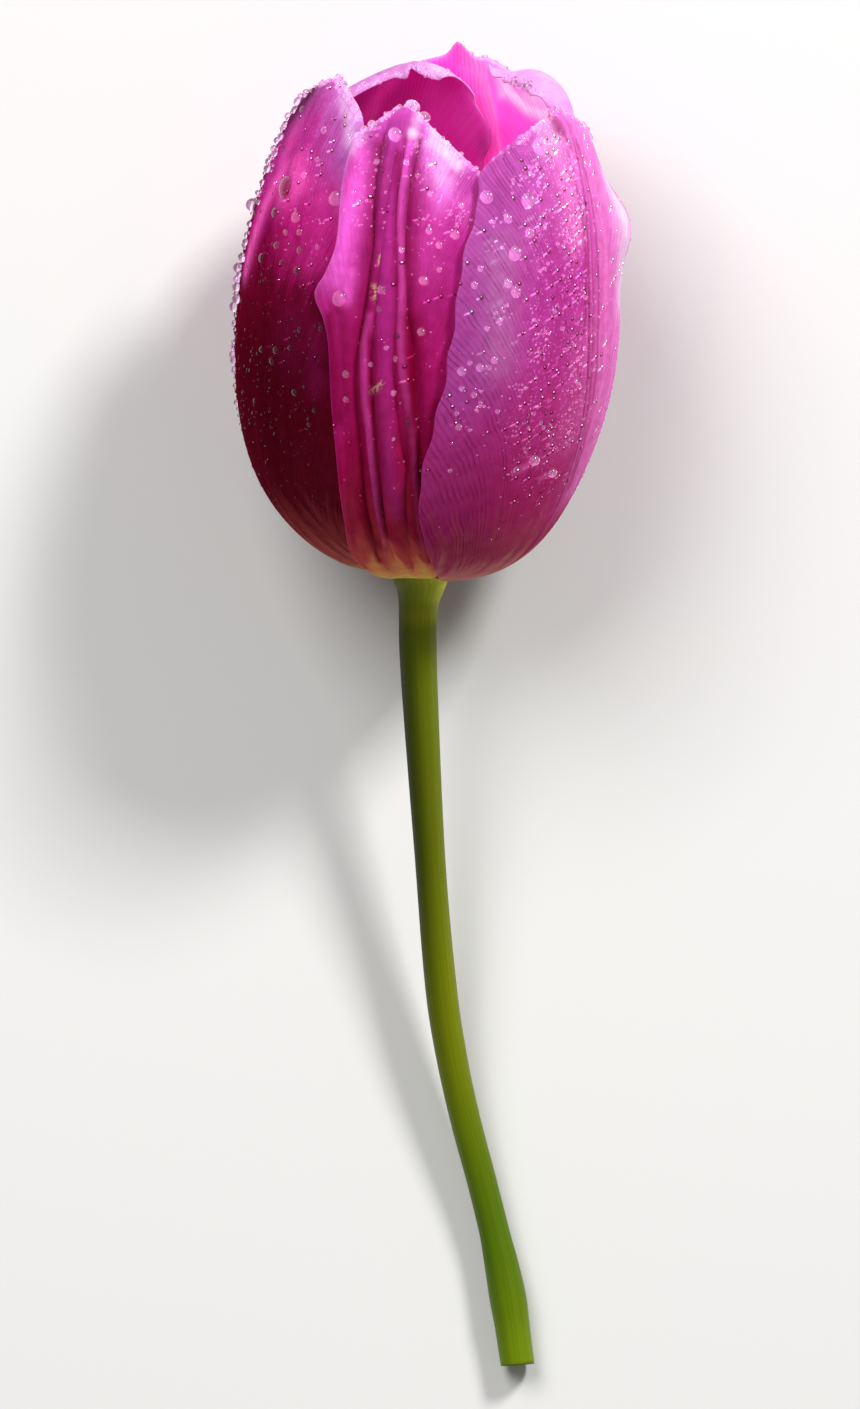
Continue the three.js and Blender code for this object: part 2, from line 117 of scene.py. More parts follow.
# One entry a petal, as in the solids, with its folds and margin drawn finer, and with the left
# petal's foot wide enough to close the cup. Folds are listed as (height, azimuth off the middle
# line) with how far they stand out and how wide they are.
PETALS = {
    "petal_outer_right": {
        "azimuth": [(0, 56), (24, 56.5), (49, 59), (66, 64.5), (74, 67.5)],
        "left": [
            (0, 34), (3.2, 45), (7.5, 51), (16, 54.8), (26, 53.4), (35, 51.2), (46, 50.3),
            (53, 50.2), (57.5, 48.6), (60, 48.6), (66, 45), (70, 43),
        ],
        "right": [(0, 30), (2, 36), (7, 46), (24, 51), (44, 50), (59, 46), (66, 42)],
        "length": 85.6, "tip": 0.6, "drop": (8.5, 9), "corner": (1.6, 2),
        "rim": [
            (-1, -0.6), (-0.8, -0.5), (-0.5, -0.2), (-0.15, 0), (0, 0.3), (0.25, -1.5),
            (0.5, -2.6), (1, -1),
        ],
        "layer": (1, 1), "lip": (0.45, 0.5), "scallops": (0.45, 8.2, 38.5),
        "roll": {"length": 3, "turn": 35, "middle": 0.05, "spread": 0.35},
        "flare": {"height": 53, "reach": 5, "out": 2.6, "from": 0.25, "until": 2},
        "folds": [
            (MIDRIB_LEFT, -0.3, 0.55), (MIDRIB_RIGHT, -0.3, 0.55), (MIDRIB, 0.22, 2.6),
            ([(5, 12), (30, 8), (70, 6.5)], -0.14, 0.8),
        ],
    },
    "petal_outer_left": {
        "azimuth": [(0, -60), (60, -60), (76, -64)],
        "left": [(0, 46), (2, 48), (7, 50), (24, 53), (44, 53), (59, 50), (69, 44)],
        "right": [
            (0, 22), (2, 30), (7, 35), (19, 37), (35, 34.5), (49, 31.5), (61, 29.5), (71, 27),
        ],
        "length": 89.2, "tip": 0.7, "drop": (11, 6.5), "corner": (1.4, 1.8),
        "rim": [(-1, -0.8), (-0.5, -1.8), (0, 0), (0.5, -0.2), (1, 0)], "layer": (1, -1),
        "lip": (0, 0), "roll": {"length": 2, "turn": 20, "middle": 0, "spread": 0.3},
        "folds": [([(0, -3), (74, 0)], 0.45, 4)],
    },
    "petal_outer_back": {
        "azimuth": [(0, 172), (74, 171.5)],
        "left": [(0, 27), (2, 34), (7, 42), (24, 47), (44, 46), (59, 41), (69, 36)],
        "right": [(0, 22), (2, 33), (7, 43), (24, 49), (44, 48), (59, 42), (69, 35)],
        "length": 89.2, "tip": 2.6, "drop": (9, 9), "corner": (1.3, 1.3),
        "rim": [(-1, 0), (-0.4, 0.6), (-0.22, -0.3), (0, 0), (0.2, -0.3), (1, 0)], "layer": (1, 1),
        "lip": (0, 0), "roll": {"length": 3, "turn": 12, "middle": 0.1, "spread": 0.3},
        "folds": [([(0, 0)], 0.2, 4)],
    },
    "petal_inner_front": {
        "azimuth": [(0, -14), (24, -15), (74, -15.5)],
        "left": [
            (0, 21), (2, 21), (5.3, 19.5), (8, 16), (12, 12.5), (21, 11.5), (30, 13.2), (39, 15.2),
            (42.5, 17.5), (46, 21.6), (49.4, 18.6), (54, 16.4), (62, 18.6), (69, 19.6),
        ],
        "right": [(0, 34), (2, 36), (7, 40), (24, 43), (44, 43), (59, 40), (66, 36)],
        "length": 87.8, "tip": 1.6, "drop": (7, 12), "corner": (1.3, 1.25),
        "rim": [
            (-1, -0.6), (-0.8, -1.5), (-0.6, -1.7), (-0.3, -0.6), (-0.1, 0), (0.15, -0.4),
            (0.3, -1.4), (0.6, -2.4), (0.8, -2.6), (1, -2),
        ],
        "layer": (1, -1), "lip": (0.5, 0),
        "roll": {"length": 3.2, "turn": 60, "middle": 0, "spread": 0.28},
        "folds": [
            ([(7, 6.5), (17, 6.8), (28.5, 3.3), (42, 1.8), (55, 0.1), (68, -1.5)], 0.85, 3.6),
            (LEFT_GROOVE, -0.62, 1.2), (LEFT_RIDGE, 0.3, 0.8), (MIDDLE_GROOVE, -0.42, 1),
            (
                INNER_GROOVE,
                -0.42, 1,
            ),
            (RIGHT_RIDGE, 0.36, 0.9), (RIGHT_GROOVE, -0.75, 1.7),
        ],
    },
    "petal_inner_back_right": {
        "azimuth": [(0, 118), (74, 121)],
        "left": [(0, 30), (2, 34), (7, 40), (24, 45), (44, 45), (59, 43), (69, 38)],
        "right": [(0, 26), (2, 29), (7, 32), (24, 36), (44, 36), (59, 36), (69, 36)],
        "length": 93.4, "tip": 0.4, "drop": (6.5, 7), "corner": (1.8, 1.8),
        "rim": [(-1, 0), (0.3, 0), (0.45, -0.8), (0.6, 0.2), (1, 0)], "layer": (-1, -1),
        "lip": (0, 0), "roll": {"length": 7, "turn": 120, "middle": -0.1, "spread": 0.9},
        "flare": {"height": 79, "reach": 6.5, "out": 2, "from": -1.4, "until": 0.5},
        "folds": [([(0, 0)], -0.3, 4)],
    },
    "petal_inner_back_left": {
        "azimuth": [(0, 216), (19, 213), (44, 206), (59, 199), (74, 194)],
        "left": [
            (0, 21), (2, 30), (7, 40), (24, 47), (44, 46), (54, 40), (58.5, 36.2), (61.5, 38),
            (64, 37.5), (67, 33), (71, 26.5),
        ],
        "right": [(0, 37), (2, 39), (7, 43), (24, 49), (44, 52), (59, 50), (69, 46), (75, 44)],
        "length": 92.2, "tip": 0, "drop": (6, 12), "corner": (1.8, 1.2),
        "rim": [
            (-1, -3.6), (-0.85, -2), (-0.7, -1.2), (-0.55, -0.5), (-0.4, -0.1), (-0.2, -0.3),
            (0, -0.8), (0.08, -1.7), (0.14, -0.3), (0.3, -1.1), (0.7, -1), (1, -0.3),
        ],
        "layer": (-1, -1), "lip": (0, 0),
        "roll": {"length": 5.6, "turn": 140, "middle": -0.03, "spread": 1.08},
        "folds": [([(0, 0)], -0.3, 4)],
    },
}

# How each petal is coloured. The ladders give its two sides by share of the length from the foot,
# with some painted light and shade in them besides the petal's own colours. Strokes are brushed
# over them along (height, azimuth off the middle line) places, each with a width in millimetres and
# a strength, in the order of the tones. The rose, pink and near-white strokes are painted light and
# highlights, the wine strokes painted shade; the inner side's tones, a painted shade and a painted
# glow, are on the inner side. Strokes without a colour show the veins (lined) and how dense the
# finest dew is (glint), which is painted with its own highlights and streaks of light. "lit" is how
# strongly the inner side glows with painted light that stands for light coming through the petal,
# "sides" (columns, rows) of its mesh.
FRONT_INSIDE = [(0.0, 0xb8b050), (0.1, 0xc02c80), (0.5, 0xe048b4), (1.0, 0xf070cc)]
LOOKS = {
    "petal_outer_right": {
        "sides": (190, 190),
        "ladder": [
            (0.0, 0xa8b448), (0.025, 0xc8b860), (0.06, 0xd49c70), (0.12, 0xd07c7c),
            (0.2, 0xbc4868), (0.32, 0xb62c70), (0.45, 0xb83080), (0.7, 0xc03c9c), (1.0, 0xe870d4),
        ],
        "inside": FRONT_INSIDE,
        "strokes": {
            "lilac": (0xa8489a, [
                ([(66, -40), (58, -42), (44, -45), (36, -47)], 9, 0.95),
                ([(30, -48), (18, -49)], 6, 0.25), ([(66, -26), (50, -34)], 5, 0.6),
            ]),
            # Painted light in rose: the sunlit and backlit side, the midrib's ridge and streaks of
            # light gathered by two beads.
            "rose": (0xff84d6, [
                ([(72, 10), (56, 13), (40, 11), (26, 14), (16, 18)], 4.5, 0.8),
                ([(68, 20), (52, 26), (36, 24), (20, 26)], 7, 1), ([(40, 2), (26, 1)], 5, 0.35),
                ([(68, -7), (62, -8.5), (55, -6.5)], 3, 0.7),
                ([(58, 1.5), (45, 0.8), (30, 3.6)], 2.2, 0.3),
                ([(21.2, -19), (20.6, -22)], 0.6, 0.4), ([(19.4, -8), (18.9, -10.5)], 0.5, 0.4),
                (MIDRIB, 0.24, 0.6),
            ]),
            # Painted highlights: the bright flank, the top and small pale smears.
            "blush": (0xffe0ff, [
                ([(60, 31), (52, 28), (44, 27)], 3, 0.85), ([(73, -14), (69, -15)], 2.5, 0.3),
                ([(54, -38), (42, -36), (38, -35)], 3, 0.12),
                ([(46.2, -39), (46.7, -36)], 0.25, 0.35),
                ([(52.2, -41), (52.7, -38.5)], 0.25, 0.35),
                ([(55.2, -44), (55.6, -42)], 0.25, 0.3), ([(40.3, -32), (40.7, -30)], 0.25, 0.3),
                ([(58.2, -29), (58.6, -27)], 0.25, 0.35),
            ]),
            # Painted shade in deep wine: the grooves, the folds at the tip and darker patches.
            "wine": (0x780840, [
                ([(22, -40), (10, -36)], 7, 0.2), (MIDRIB_LEFT, 0.28, 0.6),
                (MIDRIB_RIGHT, 0.26, 0.45), ([(57, -16), (46, -15), (40, -14)], 3.2, 0.16),
                ([(16, 11), (30, 6.6), (41, 4.4), (56, 4.6), (68, 3)], 0.35, 0.5),
                ([(41, -3.4), (56, -3), (67, -6)], 0.35, 0.5),
                ([(70.6, -12), (69.6, -6)], 0.9, 0.9), ([(69.6, -6), (67.5, -3)], 0.5, 0.6),
            ]),
            "lined": (None, [([(64, -38), (50, -42), (30, -46), (14, -40)], 11, 0.95)]),
            "glint": (None, [
                ([(64, -16), (46, -14), (26, -11)], 6, 0.85), ([(40, -20), (24, -18)], 5, 0.4),
                ([(66, 6), (46, 10), (24, 12)], 8, 0.2),
                ([(28, -24), (20, -12), (18, -6)], 4, 0.6),
                ([(66, -40), (50, -44), (30, -46)], 8, 0.07),
            ]),
        },
    },
    "petal_outer_left": {
        "sides": (140, 190),
        # Painted shade: the dark wine of the middle is the shade that part lies in as well as the
        # petal's own deep colour.
        "ladder": [
            (0.0, 0xa8b048), (0.03, 0xc4a858), (0.06, 0xbc8454), (0.12, 0xac5450),
            (0.19, 0x883438), (0.28, 0x5e1020), (0.5, 0x5c081c), (0.63, 0x6c0828), (0.7, 0x980c50),
            (0.77, 0xb81c7c), (0.88, 0xb4308c), (1.0, 0xc05cb0),
        ],
        "inside": [(0.0, 0xb8b050), (0.1, 0xa82470), (0.5, 0xc83098), (1.0, 0xe060c0)],
        "strokes": {
            "lilac": (0xbc6cc4, [
                ([(73, 20), (69, 20), (62, 22)], 4.2, 0.6),
                ([(71, 25), (66, 23), (61, 26)], 3.2, 0.9),
            ]),
            # Painted light in rose: sunlit and backlit pink patches.
            "rose": (0xff5cc0, [
                ([(67, -10), (62, -12)], 2, 0.4), ([(63, 0), (61, 3), (58.5, -4)], 2.4, 0.75),
                ([(62, -9), (54, -16), (46, -20)], 1.8, 0.95),
            ]),
            "magenta": (0xd03094, [
                ([(60, 18), (57, 19), (51, 17)], 3.6, 0.85), ([(52, 9)], 4, 0.4),
                ([(42, 13), (36, 11)], 4, 0.1), ([(40, 23), (32, 23)], 2.5, 0.15),
            ]),
            # Painted highlight along the lit top.
            "blush": (0xffdcff, [([(74, 12), (71.5, 20), (68, 24)], 1.2, 0.5)]),
            # Painted shade in deep wine: the shadowed lower part, the shadow edge and darker
            # patches.
            "wine": (0x40020e, [
                ([(32, 0), (24, 1)], 11, 0.6),
                ([(73, -14), (69, -22), (64, -32), (40, -28)], 2.6, 0.9),
                ([(56, -8), (47, -9)], 2.2, 0.4), ([(44, 29), (36, 28)], 3, 0.55),
                ([(47, 22), (43, 23)], 2.5, 0.4),
            ]),
            "lined": (None, [([(50, 18), (32, 18), (16, 14)], 10, 0.7), ([(66, 16)], 8, 0.8)]),
            "glint": (None, [
                ([(70, 0), (58, 2), (48, 4)], 9, 0.25), ([(40, 4), (28, 6)], 9, 0.25),
                ([(64, -26), (36, -28)], 5, 0.4),
            ]),
        },
    },
    "petal_outer_back": {
        "lit": 0.45, "sides": (100, 130),
        "ladder": [
            (0.0, 0x9a8a3c), (0.035, 0xa0683c), (0.1, 0x78202c), (0.3, 0x901850), (0.6, 0xb82888),
            (1.0, 0xd858b4),
        ],
        "inside": [(0.0, 0xc8c060), (0.1, 0xd03890), (0.5, 0xff48b8), (1.0, 0xff54cc)],
        "strokes": {
            "lilac": (0xe8a0e0, [([(80, -14), (80, 14)], 4, 0.6)]),
            # Painted light on the sunlit inner side near the rim.
            "glow": (0xffb8f4, [
                ([(78, -22), (70, -20), (62, -26)], 3.5, 0.9), ([(75, -5), (72, -10)], 2, 0.5),
            ]),
            "lined": (None, [([(74, 0), (20, 0)], 24, 0.6)]),
        },
    },
    "petal_inner_front": {
        "sides": (180, 190),
        "ladder": [
            (0.0, 0xa8bc40), (0.03, 0xd8d058), (0.06, 0xecc060), (0.11, 0xec9c60),
            (0.17, 0xc85450), (0.26, 0xac2848), (0.38, 0xa81454), (0.55, 0xae1a6c),
            (0.8, 0xb82c8c), (1.0, 0xbc4ca8),
        ],
        "inside": FRONT_INSIDE,
        "strokes": {
            "lilac": (0xa43490, [
                ([(66, 0), (55, 0.5), (42, 2), (28, 3.5), (14, 7)], 1.5, 0.45),
                ([(70, -2), (66, -4)], 2.5, 0.4),
            ]),
            # Painted light on the sunlit right shoulder.
            "pink": (0xff88f0, [
                ([(69.5, 13.5), (66, 18), (62, 18)], 2.2, 0.8), ([(64, 22), (60, 26)], 1.8, 0.3),
            ]),
            # Painted highlights on the shoulder and at the tip.
            "blush": (0xffdcff, [
                ([(69.6, 14.5), (67.8, 20), (66.7, 23.5)], 1.2, 0.9),
                ([(67, 17), (64.5, 18)], 1.5, 0.45), ([(72, -16), (67, -18)], 1.1, 0.4),
                ([(70.5, 4.9)], 0.75, 1),
            ]),
            # Painted light in rose: the bright left fold and the ridges.
            "rose": (0xff68dc, [
                ([(66, -13), (63, -13)], 2, 0.7), ([(62, -13), (56, -13.5), (49, -15)], 2.3, 1),
                ([(50, -10.5), (46, -11)], 1.2, 0.8), ([(58, 16), (52, 14.5)], 2.5, 0.25),
                (LEFT_RIDGE, 0.4, 0.5), (RIGHT_RIDGE, 0.45, 0.5),
            ]),
            # Painted shade in deep wine: the grooves and the shade under the lobes.
            "wine": (0x780424, [
                ([(68, -7), (60, -5.5), (49, -4.1), (37, -6), (22, -3.7), (8, -3.4)], 1.3, 0.85),
                ([(44, -12.5), (39, -9.5), (30, -8)], 1.8, 0.45),
                ([(43, -15.5), (36, -13), (28, -11)], 1, 0.7),
                ([(40, -1.5), (36, -1), (22, 2), (10, 3)], 1.2, 0.8),
                ([(67, 7), (64, 7)], 0.9, 0.6), ([(62, 6.9), (58, 7), (44, 9.5)], 1.5, 0.7),
                ([(44, 9.5), (32, 12.2), (22, 14), (10, 19)], 2.1, 0.95),
                ([(53, 18), (42, 19)], 2, 0.22),
                ([(67.5, 0), (60, 2), (46, 5), (30, 7)], 0.6, 0.7),
                ([(30, 20), (20, 22), (8, 26)], 2.2, 0.7), (LEFT_GROOVE, 0.4, 0.9),
                (MIDDLE_GROOVE, 0.35, 0.6), (RIGHT_GROOVE, 0.5, 0.9),
                (
                    INNER_GROOVE,
                    0.35, 0.6,
                ),
            ]),
            "scar": (0xc8a880, [
                ([(32.6, -0.8), (33.0, 0.8)], 0.34, 1), ([(33.2, 0.8), (34.2, 2.6)], 0.2, 1),
                ([(53.2, -1.5), (51.6, -1.7)], 0.16, 0.9), ([(48.3, -2.4), (47.2, -2.0)], 0.24, 1),
                ([(46.9, -2.3), (46.2, -1.8)], 0.2, 0.9),
            ]),
            "lined": (None, [([(68, 22), (44, 22)], 6, 0.5)]),
            "glint": (None, [
                ([(70, 12), (60, 22)], 4, 0.14), ([(66, -14), (50, -12)], 4, 0.1),
                ([(60, 14), (30, 12)], 8, 0.12),
            ]),
        },
    },
    "petal_inner_back_right": {
        "lit": 0.65, "sides": (120, 150),
        "ladder": [
            (0.0, 0x9a8a3c), (0.035, 0xa0683c), (0.1, 0x78202c), (0.3, 0xa02470), (0.6, 0xd048a8),
            (1.0, 0xf8a0e8),
        ],
        "inside": [(0.0, 0xc8c060), (0.1, 0xd03890), (0.5, 0xff3cc0), (1.0, 0xff60dc)],
        "strokes": {
            "lilac": (0xffc4fc, [([(80, -30), (84, 0), (80, 30)], 4, 0.9)]),
            # Painted light on the sunlit upper inner side.
            "glow": (0xffe4ff, [
                ([(71.2, 36), (71.4, 27), (69, 19), (68.4, 12), (69, 0)], 1.3, 1),
                ([(70.6, 16), (71, 4), (71.5, -8)], 1.8, 0.8),
                ([(77, 36), (75, 20), (73, 8), (72.5, -6)], 2.8, 1),
                ([(78, -36), (76, -10)], 3.5, 1),
            ]),
            # Painted shadow cast by the left-back petal's margin.
            "deep": (0xd81c94, [([(64, 34), (57, 32), (50, 32)], 2.6, 0.45)]),
            "lined": (None, [([(74, 0), (20, 0)], 24, 0.6)]),
        },
    },
    "petal_inner_back_left": {
        "lit": 0.05, "sides": (120, 160),
        "ladder": [
            (0.0, 0x9a8a3c), (0.035, 0xa0683c), (0.1, 0x6c1828), (0.3, 0x801848), (0.6, 0xb42c8c),
            (0.9, 0xb85cac), (1.0, 0xbc7cba),
        ],
        "inside": [
            (0.0, 0xc8c060), (0.1, 0xb82078), (0.5, 0xe02ca4), (0.8, 0xd830ac), (1.0, 0xe044c4),
        ],
        "strokes": {
            "lilac": (0xfcc0f4, [([(69, -34), (71, -26), (73.5, -12)], 3, 0.75)]),
            # Painted shade under the rolled lip and a painted shadow along the right margin.
            "deep": (0xac3890, [
                ([(71, 22), (66, 14), (62, 8)], 4, 0.8), ([(69, 2), (67, -4)], 2.5, 0.5),
                ([(64, -6), (58, -20), (52, -34)], 4, 0.15),
                ([(62.5, -34.5), (58, -38), (50, -39)], 1.1, 0.9),
            ]),
            # Painted light: lighter bands on the inner side.
            "glow": (0xff78dc, [
                ([(70, -12), (68, -24), (64, -30)], 3, 0.18),
                ([(72, 36), (64, 32), (54, 30)], 1.6, 0.6),
                ([(72, 8), (68.9, 11.7), (66, 13)], 1.5, 0.6),
            ]),
            "lined": (None, [([(74, 0), (20, 0)], 24, 0.35)]),
        },
    },
}
INSIDE_TONES = ("deep", "glow")
FADING_TONES = ("lilac", "rose")
FADING_HEIGHTS = (4, 17)  # none of them towards the foot

# Dew on each petal, in the same (height, azimuth off the middle line) places. Drops and spheres
# have a diameter in millimetres. Specks and beads are scattered over patches: two heights, two
# azimuths, a number and a range of diameters. Beads along the rim: two places across it from -1
# to 1, a number and a range of diameters. The glow entry gives how bright the drops' painted glow
# is by height.
DEW = {
    "petal_outer_right": {
        "drops": [
            (68.2, -21.9, 2.7), (61.7, -45.0, 2.2), (60.9, -28.9, 2.5), (58.6, -36.5, 1.5),
            (56.4, -27.9, 1.7), (53.6, -32.9, 2.4), (48, -31.6, 1.9), (49.3, -34.5, 1.6),
            (51.6, -44.2, 1.2), (49.2, -45.5, 1.3), (36.5, -46.5, 1.6), (37, -41.1, 1.4),
            (42.8, -40.2, 1.1), (37.7, -44.4, 0.9), (33.9, -46, 1.0), (32.9, -42, 1.1),
            (30.1, -46.6, 0.9), (28, -45.3, 1.2), (38, -36.7, 1.3), (44, -36.3, 1.0),
            (30.2, -33.6, 0.9), (27.5, -41.6, 0.8), (21.2, -45.8, 0.8),
        ],
        "beads": [
            (21.9, 22.3, -17, -16.6, 1, 1.8, 1.8), (19.6, 20, -6.5, -6.1, 1, 1.6, 1.6),
            (24, 68, -22, -2, 70, 0.4, 0.85),
        ],
        "specks": [
            (8, 66, -48, 40, 200, 0.25, 0.45), (18, 70, -26, 6, 420, 0.28, 0.55),
            (14, 72, 4, 44, 200, 0.25, 0.45), (28, 66, -46, -20, 150, 0.35, 0.8),
        ],
        "rim": [(-0.95, 0.95, 130, 0.4, 1.0)],
    },
    "petal_outer_left": {
        "drops": [
            (59.7, -2.2, 3.6), (60.1, 22.1, 2.6), (54.6, -27.4, 2.2), (55.7, -5.3, 1.8),
            (56.1, 5.9, 1.9), (70.3, -13.5, 1.3), (69, 7.4, 1.4), (64.8, 8.9, 1.1),
            (62.2, 4.6, 1.2), (53.6, 3.1, 1.0), (54.1, 9.2, 1.2), (51.4, 0.7, 1.3),
            (51.6, 10.9, 1.3), (52.7, 18.5, 1.1), (48.7, -7.9, 1.5), (49.2, 4.2, 1.0),
            (48.6, 11.2, 1.3), (39.9, 15.5, 1.0), (36, 5.6, 1.2), (36.9, 12, 1.0), (40.8, 24, 1.1),
            (35.6, -0.2, 1.0), (34.2, 4.1, 1.2), (30.2, 14.6, 1.2), (25.7, 20.8, 1.0),
            (27.5, -4, 0.9), (28.1, 23, 0.9),
        ],
        "beads": [
            (30, 72, -35, -26, 56, 0.6, 1.9), (54, 72, -34, -18, 24, 0.5, 1.2),
            (20, 34, -36, -26, 20, 0.4, 1.1),
        ],
        "glow": [(28, 0.1), (48, 0.22), (57, 1)],
        "spheres": [
            (54.6, -28.5, 2.1), (65.4, -23, 1.2), (70.6, -23.5, 1.5), (60.5, -24, 1.35),
            (64.4, -28, 1.2), (58.3, -26, 1.05), (40.9, -24, 1.6), (46.9, -24.5, 1.1),
            (49.3, -26, 1.2), (52, -26.5, 1.1), (67, -27, 1.0), (62, -27, 1.1),
        ],
        "specks": [
            (8, 72, -40, 24, 240, 0.22, 0.5), (24, 60, -34, -24, 110, 0.35, 0.8),
            (20, 66, -20, 24, 130, 0.3, 0.7),
        ],
        "rim": [(-0.6, 0.9, 100, 0.4, 1.1), (0.9, 0.91, 1, 1.5, 1.5)],
    },
    "petal_inner_front": {
        "drops": [
            (69.9, -2.2, 2.3), (68.2, -15.6, 1.7), (45.9, -13, 2.6), (56.5, 23, 1.6),
            (49.6, 13.1, 1.6), (54.9, 17.6, 1.2), (51.3, 18, 1.0), (42, 13.3, 1.3),
            (37.8, 6.1, 1.0), (39.4, 3, 0.9), (32.5, 5.4, 1.1), (28, 10.6, 1.0), (25.5, 6.5, 0.7),
            (34.8, -9, 1.3), (31, -8.6, 1.1), (47.9, 0.5, 1.5), (45, 0.4, 1.2), (41.2, 6.2, 1.2),
            (36.6, -1.8, 1.0), (53.9, 4.9, 1.1), (56.9, 14, 1.2), (60.7, 25.1, 1.1),
            (62.2, 13.6, 1.0), (64.7, 8.7, 0.9), (66.3, 3.8, 1.0), (66, -8, 1.1), (60, -11, 1.0),
        ],
        "specks": [
            (10, 70, -12, 24, 160, 0.2, 0.4), (54, 71, 4, 30, 200, 0.22, 0.55),
            (56, 71, -16, 0, 70, 0.3, 0.7),
        ],
        "rim": [
            (-0.95, 0.95, 120, 0.4, 1.0), (0.235, 0.24, 1, 2.2, 2.3), (0.03, 0.04, 1, 2.4, 2.5),
            (0.11, 0.12, 1, 1.3, 1.4), (-0.66, -0.65, 1, 1.4, 1.4), (-0.56, -0.55, 1, 1.2, 1.2),
            (-0.8, -0.78, 1, 1.2, 1.3), (-0.28, -0.24, 1, 1.0, 1.0),
        ],
    },
    "petal_inner_back_left": {
        "rim": [(-0.75, 0.75, 120, 0.3, 0.8)],
    },
    "petal_inner_back_right": {
        "rim": [(-0.9, 0.5, 70, 0.3, 0.8), (-0.6, 0.2, 16, 0.8, 1.3)],
    },
    "petal_outer_back": {
        "rim": [(-0.5, 0.5, 60, 0.2, 0.5), (-0.65, -0.15, 14, 0.7, 1.2)],
    },
}
# Forms of a drop: up to which diameter it is used, segments, rings, and how far the drop stands
# above and reaches below its widest part, as shares of its radius.
SPECK = (0.6, 8, 5, 0.85, 0.12)
SMALL_DROP = (1.15, 10, 6, 0.75, 0.12)
DROP = (9, 24, 14, 0.5, 0.12)
SMALL_BEAD = (1.1, 8, 6, 1.0, 0.5)
BEAD = (9, 16, 10, 1.0, 0.5)
# How strongly beads show the painted glow of light gathered in a drop.
BEAD_PAINTED_GLOW = {SMALL_BEAD: 0.65, BEAD: 1.0}  # of the light gathered in a drop
DEW_SINK = 0.03
ROW = 7  # drops in a slanting row
RIM_START, RIM_END = 0.985, 0.999  # shares of a petal's length between which beads line its rim
RIM_LEAN = 1.4
LARGE_BEAD, LARGE_BEAD_INSET = 1.1, 0.004
# The drops' painted highlights and painted dark sides face this way.
SLANT = (1, 0.7, 0)  # towards the light, as the drops show it
KEY_LIGHT = (0.9, 1.2, 1.1)
FILL_LIGHT = (-0.8, 1.1, 1.7)

# Course and radius of the stem, by distance from the bloom's base along -Y, as the solid has it.
STEM_COURSE = [
    (0, 0.2), (2.4, 0.2), (4.4, 0), (10, -0.15), (19, 0.2), (46, 1.9), (64, 3.5), (74, 5.1),
    (83, 7.1), (92, 9.5), (101, 11.7), (110, 13.5), (119.7, 14.9),
]
STEM_RADIUS = [
    (0, 4.3), (1.1, 4.22), (1.7, 4.05), (2.9, 3.56), (4.4, 3.12), (7, 2.92), (10, 2.87),
    (19, 2.72), (33, 2.46), (46, 2.3), (64, 2.4), (81, 2.3), (99, 2.28), (104.5, 2.58),
    (109.5, 2.8), (114, 2.66), (119.7, 2.55),
]
STEM_REACH = 119.7
STEM_START = 0.95
# Rows of the receptacle from its top to the stem: share of the tube, level and radius.
RECEPTACLE = [(0, 2.3, 3.7), (0.0125, 0, 3.7), (0.0167, -0.14, 4.3), (0.03, -0.9, 4.25)]
STEM_FLAT_END = 9
STEM_PRESS = 0.1
STEM_SIDES = 14  # of the solid, whose lying end is flat

# Upright bodies: length, half-width by share of it, lobes, their depth, and flatness.
OVARY = (19, [(0, 1.7), (0.2, 2.75), (0.5, 3.1), (0.8, 2.6), (1, 1.9)], 3, 0.09, 1)
STIGMA = (4, [(0, 1.9), (0.35, 2.3), (0.75, 3.2), (1, 2.2)], 3, 0.34, 1)
FILAMENT = (9.5, [(0, 0.62), (0.6, 0.6), (1, 0.36)], 1, 0, 1)
ANTHER = (13.5, [(0, 0.55), (0.12, 1.1), (0.5, 1.3), (0.9, 1), (1, 0.45)], 2, 0.16, 0.75)
STAMENS = 6
STAMEN_RADIUS = 2.98
STAMEN_SPLAY = math.radians(16)

VEIN_BEND = 25  # how far up the petal a vein runs while it moves out by a factor of e
VEIN_SPAN = 24
FAN_SPREAD, LENGTHWISE_SPREAD = 1600, 900  # from the spacing in metres to that of vein numbers

BLACK = (0.0, 0.0, 0.0, 1.0)

FLOOR_SIZE = 3
FLOOR_DROP = 0.00005
SENSOR = 36
CAMERA_PLACE = (0.00124, -0.0498, 4.025)
CAMERA_DISTANCE = 4
FRAME_SPAN = 0.21135  # of the camera's view at that distance, in metres


# ---- Small helpers ----

def smooth(x, low, high):
    t = np.clip((x - low) / (high - low), 0, 1)
    return t * t * (3 - 2 * t)


def bump(distance, width):
    return np.exp(-((distance / width) ** 2))


def through(points, x):
    """The smooth curve through (x, y) points, held level beyond its ends."""
    x = np.asarray(x, float)
    if len(points) == 1:
        return np.full_like(x, points[0][1])
    places, values = np.array(points, float).T
    k = np.arange(len(places))
    before, after = np.maximum(k - 1, 0), np.minimum(k + 1, len(places) - 1)
    slopes = (values[after] - values[before]) / (places[after] - places[before])
    x = np.clip(x, places[0], places[-1])
    i = np.clip(np.searchsorted(places, x, side="right") - 1, 0, len(places) - 2)
    span = places[i + 1] - places[i]
    t = (x - places[i]) / span
    return (
        values[i] * (1 + 2 * t) * (1 - t) ** 2
        + values[i + 1] * t * t * (3 - 2 * t)
        + slopes[i] * span * t * (1 - t) ** 2
        + slopes[i + 1] * span * t * t * (t - 1)
    )


def in_world(local):
    """World places in millimetres of places in the bloom's frame."""
    return local @ BLOOM_TURN.T + BLOOM_BASE


def unit(vectors):
    return vectors / np.linalg.norm(vectors, axis=-1, keepdims=True)


